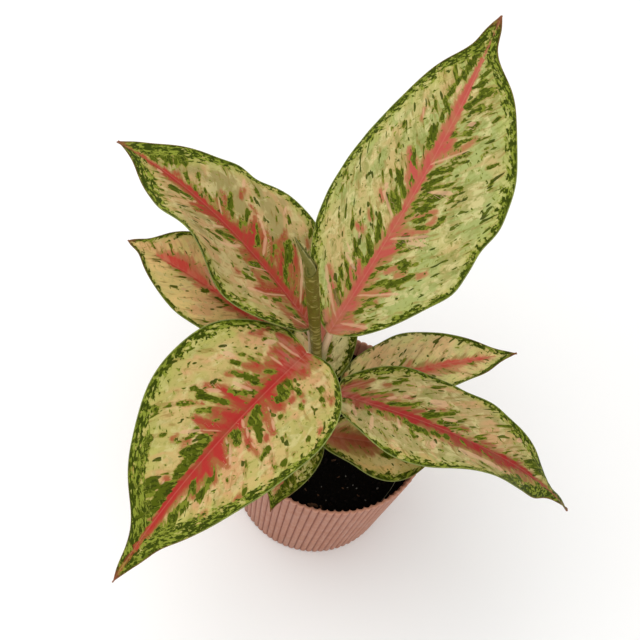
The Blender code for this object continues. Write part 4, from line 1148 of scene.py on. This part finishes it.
    # The dry tip and the thin rim.
    tip = step(group, plus(group, t, centred(speck, 0.05)), 0.945, 1.0)
    colour = over(group, tip, 0.85, colour, (0.20, 0.055, 0.030))
    rim = step(group, given["Margin"], 0.70, 0.35)
    rim_tone = tint(group, step(group, t, 0.62, 0.85), (0.34, 0.37, 0.12), (0.24, 0.105, 0.045))
    colour = over(group, rim, 0.50, colour, rim_tone)

    made = group.nodes.new("NodeGroupOutput").inputs
    group.links.new(colour, made["Color"])
    group.links.new(step(group, streaks(5.0, 5.0, 51.0, 3), 0.3, 0.7, 0.44, 0.58), made["Roughness"])
    skin = plus(group, streaks(34, 26, 53.0, 2), times(group, line, 0.4))
    group.links.new(skin, made["Height"])
    return group


variegation = make_variegation()


def blade_finish(name, leaf, under):
    """The variegated upper face of one leaf, or its duller underside."""
    material, tree, shader, _ = finish_of(name, shine=0.05)
    group = tree.nodes.new("ShaderNodeGroup")
    group.node_tree = variegation
    for socket in COORDINATES:
        tree.links.new(place(tree, "UVMap", uv_map=socket.lower()).outputs[0], group.inputs[socket])
    for socket in MARKS:
        tree.links.new(read(tree, socket.lower()), group.inputs[socket])
    for socket in AMOUNTS:
        group.inputs[socket].default_value = leaf[socket.lower()]
    for socket in COLOURS:
        group.inputs[socket].default_value = (*leaf[socket.lower()], 1)
    colour, rough = group.outputs["Color"], group.outputs["Roughness"]
    if under:
        colour = tint(tree, 0.55, colour, (0.36, 0.39, 0.20))
        rough = plus(tree, rough, 0.15)
    shade(tree, shader, colour, rough, group.outputs["Height"], 0.00012)
    return material


petiole_skin, tree, shader, spot = finish_of("petiole_skin")
rise = read(tree, "rise")
mottle = grain(tree, stretched(tree, spot, 1, 1, 0.45), 620, 4, 0.65)
foot_tone = tint(tree, mottle, (0.13, 0.15, 0.04), (0.34, 0.34, 0.13))
head_tone = tint(tree, mottle, (0.50, 0.35, 0.18), (0.66, 0.42, 0.27))
colour = tint(tree, step(tree, rise, 0.35, 0.95), foot_tone, head_tone)
dash = step(tree, grain(tree, stretched(tree, spot, 1, 1, 2.2), 900, 2), 0.60, 0.66)
colour = over(tree, dash, 0.5, colour, (0.48, 0.47, 0.27))
shade(tree, shader, colour, step(tree, mottle, 0.3, 0.7, 0.4, 0.55), grain(tree, spot, 1500, 3), 0.00015)

PETIOLE_FOOT_RADIUS = 0.0036
PETIOLE_RADIUS = 0.0021
PETIOLE_BOW = 0.12
PETIOLE_STEPS = 36
PETIOLE_SIDES = 20
PETIOLE_DROP = 0.0026
GROOVE = 0.62
KEEL_END = 0.92
KEEL_STEPS = 60


def make_petiole(name, leaf):
    """A grooved petiole from the cane to the blade, running on as the keel under the midrib."""
    point, ahead, side, normal = (Vector(column[0]) for column in midrib_course(leaf, [0.0]))
    base = point * MM - normal * PETIOLE_DROP
    share = (leaf["socket"] * MM - CANE_FOOT.z) / (CANE_TOP.z - CANE_FOOT.z)
    root = CANE_FOOT.lerp(CANE_TOP, share)
    reach = (base - root).length
    outward = Vector((base.x - root.x, base.y - root.y, 0)).normalized()
    leave = root + (base - root) * 0.25 + outward * PETIOLE_BOW * reach
    arrive = base - (ahead * 0.45 + Vector((0, 0, 0.55))).normalized() * reach * 0.35
    path, radii = [], []
    for i in range(PETIOLE_STEPS + 1):
        t = i / PETIOLE_STEPS
        left = 1 - t
        path.append(
            root * left ** 3 + leave * 3 * t * left ** 2 + arrive * 3 * t ** 2 * left + base * t ** 3)
        radii.append(PETIOLE_RADIUS + (PETIOLE_FOOT_RADIUS - PETIOLE_RADIUS) * left ** 1.5)
    shares = [KEEL_END * i / KEEL_STEPS for i in range(KEEL_STEPS + 1)]
    points, _, _, normals = midrib_course(leaf, shares)
    for t, mid, up in list(zip(shares, points, normals))[2:]:
        thin = PETIOLE_RADIUS * (1 - t / KEEL_END) ** 0.8 * 0.92 + 0.00012
        sink = thin + channel_depth(t) * MM + 0.0001
        path.append(Vector(mid) * MM - Vector(up) * sink)
        radii.append(thin)
    petiole = draw_tube(name, path, radii, PETIOLE_SIDES)
    places = points_of(petiole)
    along, near, _ = nearest_on(path, places)
    lengths = [(b - a).length for a, b in zip(path, path[1:])]
    free = sum(lengths[:PETIOLE_STEPS]) / sum(lengths)
    climb = np.clip(along / free, 0, 1)
    mark(petiole, "rise", climb)
    upward = np.array(outward) * -1 + climb[:, None] * (np.array(normal) + np.array(outward))
    upward /= np.linalg.norm(upward, axis=1)[:, None]
    spoke = places - near
    size = np.linalg.norm(spoke, axis=1)[:, None]
    facing = np.clip(np.sum(spoke / np.maximum(size, 1e-9) * upward, axis=1), 0, 1)
    hollow = facing ** 6 * GROOVE * np.clip((1 - along / free) * 6, 0, 1)
    set_points(petiole, places - spoke * hollow[:, None])
    return petiole


for leaf_name, leaf in LEAVES.items():
    blade = make_blade(leaf_name + "_blade", leaf)
    bpy.ops.object.shade_smooth_by_angle(angle=math.radians(60))
    blade.select_set(False)
    petiole = make_petiole(leaf_name + "_petiole", leaf)
    upper_face = blade_finish(leaf_name + "_variegation", leaf, False)
    underside = blade_finish(leaf_name + "_underside", leaf, True)
    fix_on(petiole, leaf_name, "leaf_blade", petiole_skin)
    fix_on(blade, leaf_name, "leaf_blade", upper_face, underside)


# Spear: the sheath of the newest petiole stands on the cane, olive with pale dashes across it, one edge
# lapped over the other, and out of its slanting mouth stands the next leaf, still rolled to a point.
SHEATH_TOP = Vector((-0.0405, 0.0130, 0.239))
SHEATH_FOOT_RADIUS = 0.0031
SHEATH_TOP_RADIUS = 0.0039
SHEATH_WALL = 0.0008
SHEATH_MOUTH_DEPTH = 0.026
SHEATH_MOUTH_SLANT = math.radians(38)
SHEATH_LAP = 0.10
SHEATH_SEAM = math.radians(-70)
SHEATH_SIDES = 40
ROLL_TIP = Vector((-0.0515, 0.0105, 0.262))
ROLL_SEAM = 0.38
ROLL_TURN = 0.25
ROLL_INNER = 0.86
ROLL_LAP = 0.16
ROLL_SIDES = 44
SPEAR_STEPS = 60

sheath_axis = (SHEATH_TOP - CANE_TOP).normalized()
sheath_path = []
sheath_radii = []
for i in range(SPEAR_STEPS + 1):
    t = i / SPEAR_STEPS
    wobble = 0.00012 * noise.noise(Vector((i * 0.35, 0, 2)))
    sheath_path.append(CANE_TOP.lerp(SHEATH_TOP, t) - sheath_axis * 0.002 * (1 - t))
    sheath_radii.append(SHEATH_FOOT_RADIUS + (SHEATH_TOP_RADIUS - SHEATH_FOOT_RADIUS) * t + wobble)
sheath = draw_tube("spear_sheath_skin", sheath_path, sheath_radii, SHEATH_SIDES)
lean = sheath_axis.to_track_quat("Z", "Y").to_matrix()
places = points_of(sheath)
local = (places - np.array(CANE_TOP)) @ np.array(lean)
turn = np.arctan2(local[:, 1], local[:, 0])
lap = ((turn - SHEATH_SEAM) / math.tau) % 1
size = np.hypot(local[:, 0], local[:, 1])
local[:, :2] *= (1 + SHEATH_LAP * (lap - 0.5) * (size > 0.002))[:, None]
set_points(sheath, local @ np.array(lean).T + np.array(CANE_TOP))
mark(sheath, "lap", lap)
mark(sheath, "rise", np.clip(local[:, 2] / (SHEATH_TOP - CANE_TOP).length, 0, 1))
bpy.context.view_layer.objects.active = sheath
sheath.select_set(True)
bpy.ops.object.mode_set(mode="EDIT")
bpy.ops.mesh.select_all(action="SELECT")
slant = (lean @ Matrix.Rotation(SHEATH_MOUTH_SLANT, 3, "Y")) @ Vector((0, 0, 1))
bpy.ops.mesh.bisect(
    plane_co=SHEATH_TOP - sheath_axis * 0.004, plane_no=slant, clear_outer=True, use_fill=False)
bpy.ops.object.mode_set(mode="OBJECT")
bpy.ops.object.modifier_add(type="SOLIDIFY")
sheath.modifiers[-1].thickness = SHEATH_WALL
sheath.modifiers[-1].offset = -1
bpy.ops.object.modifier_apply(modifier=sheath.modifiers[-1].name)
close_up(sheath, 50)

sheath_skin, tree, shader, spot = finish_of("sheath_skin", shine=0.15)
rise = read(tree, "rise")
lap_share = read(tree, "lap")
mottle = grain(tree, spot, 330, 4, 0.6)
colour = tint(tree, mottle, (0.075, 0.070, 0.006), (0.20, 0.165, 0.024))
colour = tint(tree, step(tree, grain(tree, spot, 260, 3), 0.5, 0.62, 0, 0.45), colour, (0.13, 0.085, 0.014))
dash = grain(tree, stretched(tree, spot, 0.45, 0.45, 1.9), 420, 2.5, 0.55)
often = step(tree, rise, 0.9, 0.1, 0.60, 0.53)
dash = step(tree, minus(tree, dash, often), 0.0, 0.025)
colour = over(tree, dash, 0.55, colour, (0.40, 0.345, 0.105))
seam = reckon(tree, "MAXIMUM", step(tree, lap_share, 0.03, 0.0), step(tree, lap_share, 0.985, 1.0))
colour = over(tree, seam, 0.7, colour, (0.05, 0.055, 0.015))
shade(tree, shader, colour, step(tree, mottle, 0.3, 0.7, 0.42, 0.58), grain(tree, spot, 1200, 4), 0.0002)
fix_on(sheath, "spear_sheath", "sheath_skin", sheath_skin)

roll_foot = SHEATH_TOP - sheath_axis * (SHEATH_MOUTH_DEPTH - 0.001)
roll_path = []
roll_radii = []
for i in range(SPEAR_STEPS + 1):
    t = i / SPEAR_STEPS
    straight = roll_foot.lerp(SHEATH_TOP, min(t * 2, 1))
    free = max(t * 2 - 1, 0)
    roll_path.append(straight.lerp(ROLL_TIP, free ** 1.15))
    roll_radii.append((SHEATH_TOP_RADIUS - SHEATH_WALL - 0.0002) * (1 - free ** 1.5 * 0.93))
roll = draw_tube("rolled_young_blade", roll_path, roll_radii, ROLL_SIDES)
places = points_of(roll)
share, near, ahead = nearest_on(roll_path, places)
spoke = places - near
front = np.cross(ahead, np.array((0.0, 1.0, 0.0)))
front /= np.linalg.norm(front, axis=1)[:, None]
third = np.cross(ahead, front)
turn = np.arctan2(np.sum(spoke * third, axis=1), np.sum(spoke * front, axis=1))
lap = ((turn / math.tau) + ROLL_SEAM + share * ROLL_TURN) % 1
set_points(roll, near + spoke * (ROLL_INNER + ROLL_LAP * lap)[:, None])
mark(roll, "lap", lap)
mark(roll, "rise", share)
roll_skin, tree, shader, spot = finish_of("rolled_blade_skin", shine=0.15)
rise = read(tree, "rise")
lap_share = read(tree, "lap")
mottle = grain(tree, stretched(tree, spot, 1, 1, 0.4), 520, 4, 0.6)
colour = tint(tree, mottle, (0.085, 0.085, 0.012), (0.23, 0.205, 0.050))
freckle = step(tree, grain(tree, spot, 380, 3), 0.55, 0.62)
colour = over(tree, freckle, 0.7, colour, (0.045, 0.065, 0.006))
slit = step(tree, lap_share, 0.14, 0.02)
colour = over(tree, slit, 0.85, colour, (0.055, 0.065, 0.015))
pale = step(tree, lap_share, 0.93, 0.99)
colour = over(tree, pale, 0.75, colour, (0.44, 0.38, 0.17))
shade(tree, shader, colour, step(tree, mottle, 0.3, 0.7, 0.4, 0.55), grain(tree, spot, 1500, 3), 0.00015)
fix_on(roll, "rolled_leaf", "young_blade", roll_skin)


# Setting: a plain pale floor under soft studio light, and the camera above the plant, held at a tilt.
STUDIO_WHITE = (1.0, 0.995, 0.985)
STUDIO_GLOW = 0.80
LAMPS = (((-0.80, 0.15, 1.35), 11.5, 1.6), ((0.55, -0.95, 1.2), 4.5, 1.6))
LAMP_AIM = Vector((0, 0, 0.12))
CAMERA_RISE = math.radians(65)
CAMERA_DISTANCE = 0.651
CAMERA_FORWARD = Vector((-0.04787, 0.49686, -0.86651))
CAMERA_UP = Vector((-0.36685, 0.79813, 0.47792))
FIELD_OF_VIEW = math.radians(34)

bpy.ops.mesh.primitive_plane_add(size=6)
floor = bpy.context.object
floor.name = "floor"
floor_paint, tree, shader, spot = finish_of("pale_floor")
colour = tint(tree, grain(tree, spot, 3, 3), (0.93, 0.93, 0.925), (0.95, 0.95, 0.945))
shade(tree, shader, colour, step(tree, grain(tree, spot, 40), 0.3, 0.7, 0.75, 0.85))
floor.data.materials.append(floor_paint)

world = bpy.data.worlds.new("studio")
world.use_nodes = True
world.node_tree.nodes["Background"].inputs["Color"].default_value = (*STUDIO_WHITE, 1)
world.node_tree.nodes["Background"].inputs["Strength"].default_value = STUDIO_GLOW
bpy.context.scene.world = world
for place_of, power, width in LAMPS:
    bpy.ops.object.light_add(type="AREA", location=place_of)
    lamp = bpy.context.object
    lamp.data.energy = power
    lamp.data.size = width
    lamp.rotation_euler = (LAMP_AIM - Vector(place_of)).to_track_quat("-Z", "Y").to_euler()

aim = Vector((0, 0, POT_HEIGHT - 0.0005))
eye = aim + CAMERA_DISTANCE * Vector((0, -math.cos(CAMERA_RISE), math.sin(CAMERA_RISE)))
bpy.ops.object.camera_add(location=eye)
camera = bpy.context.object
camera.data.sensor_width = 36
camera.data.lens = 18 / math.tan(FIELD_OF_VIEW / 2)
camera.data.clip_start = 0.01
view_right = CAMERA_FORWARD.cross(CAMERA_UP).normalized()
view_up = view_right.cross(CAMERA_FORWARD).normalized()
facing = Matrix((view_right, view_up, -CAMERA_FORWARD)).transposed()
camera.rotation_euler = facing.to_euler()
bpy.context.scene.camera = camera
bpy.context.scene.view_settings.view_transform = "Standard"
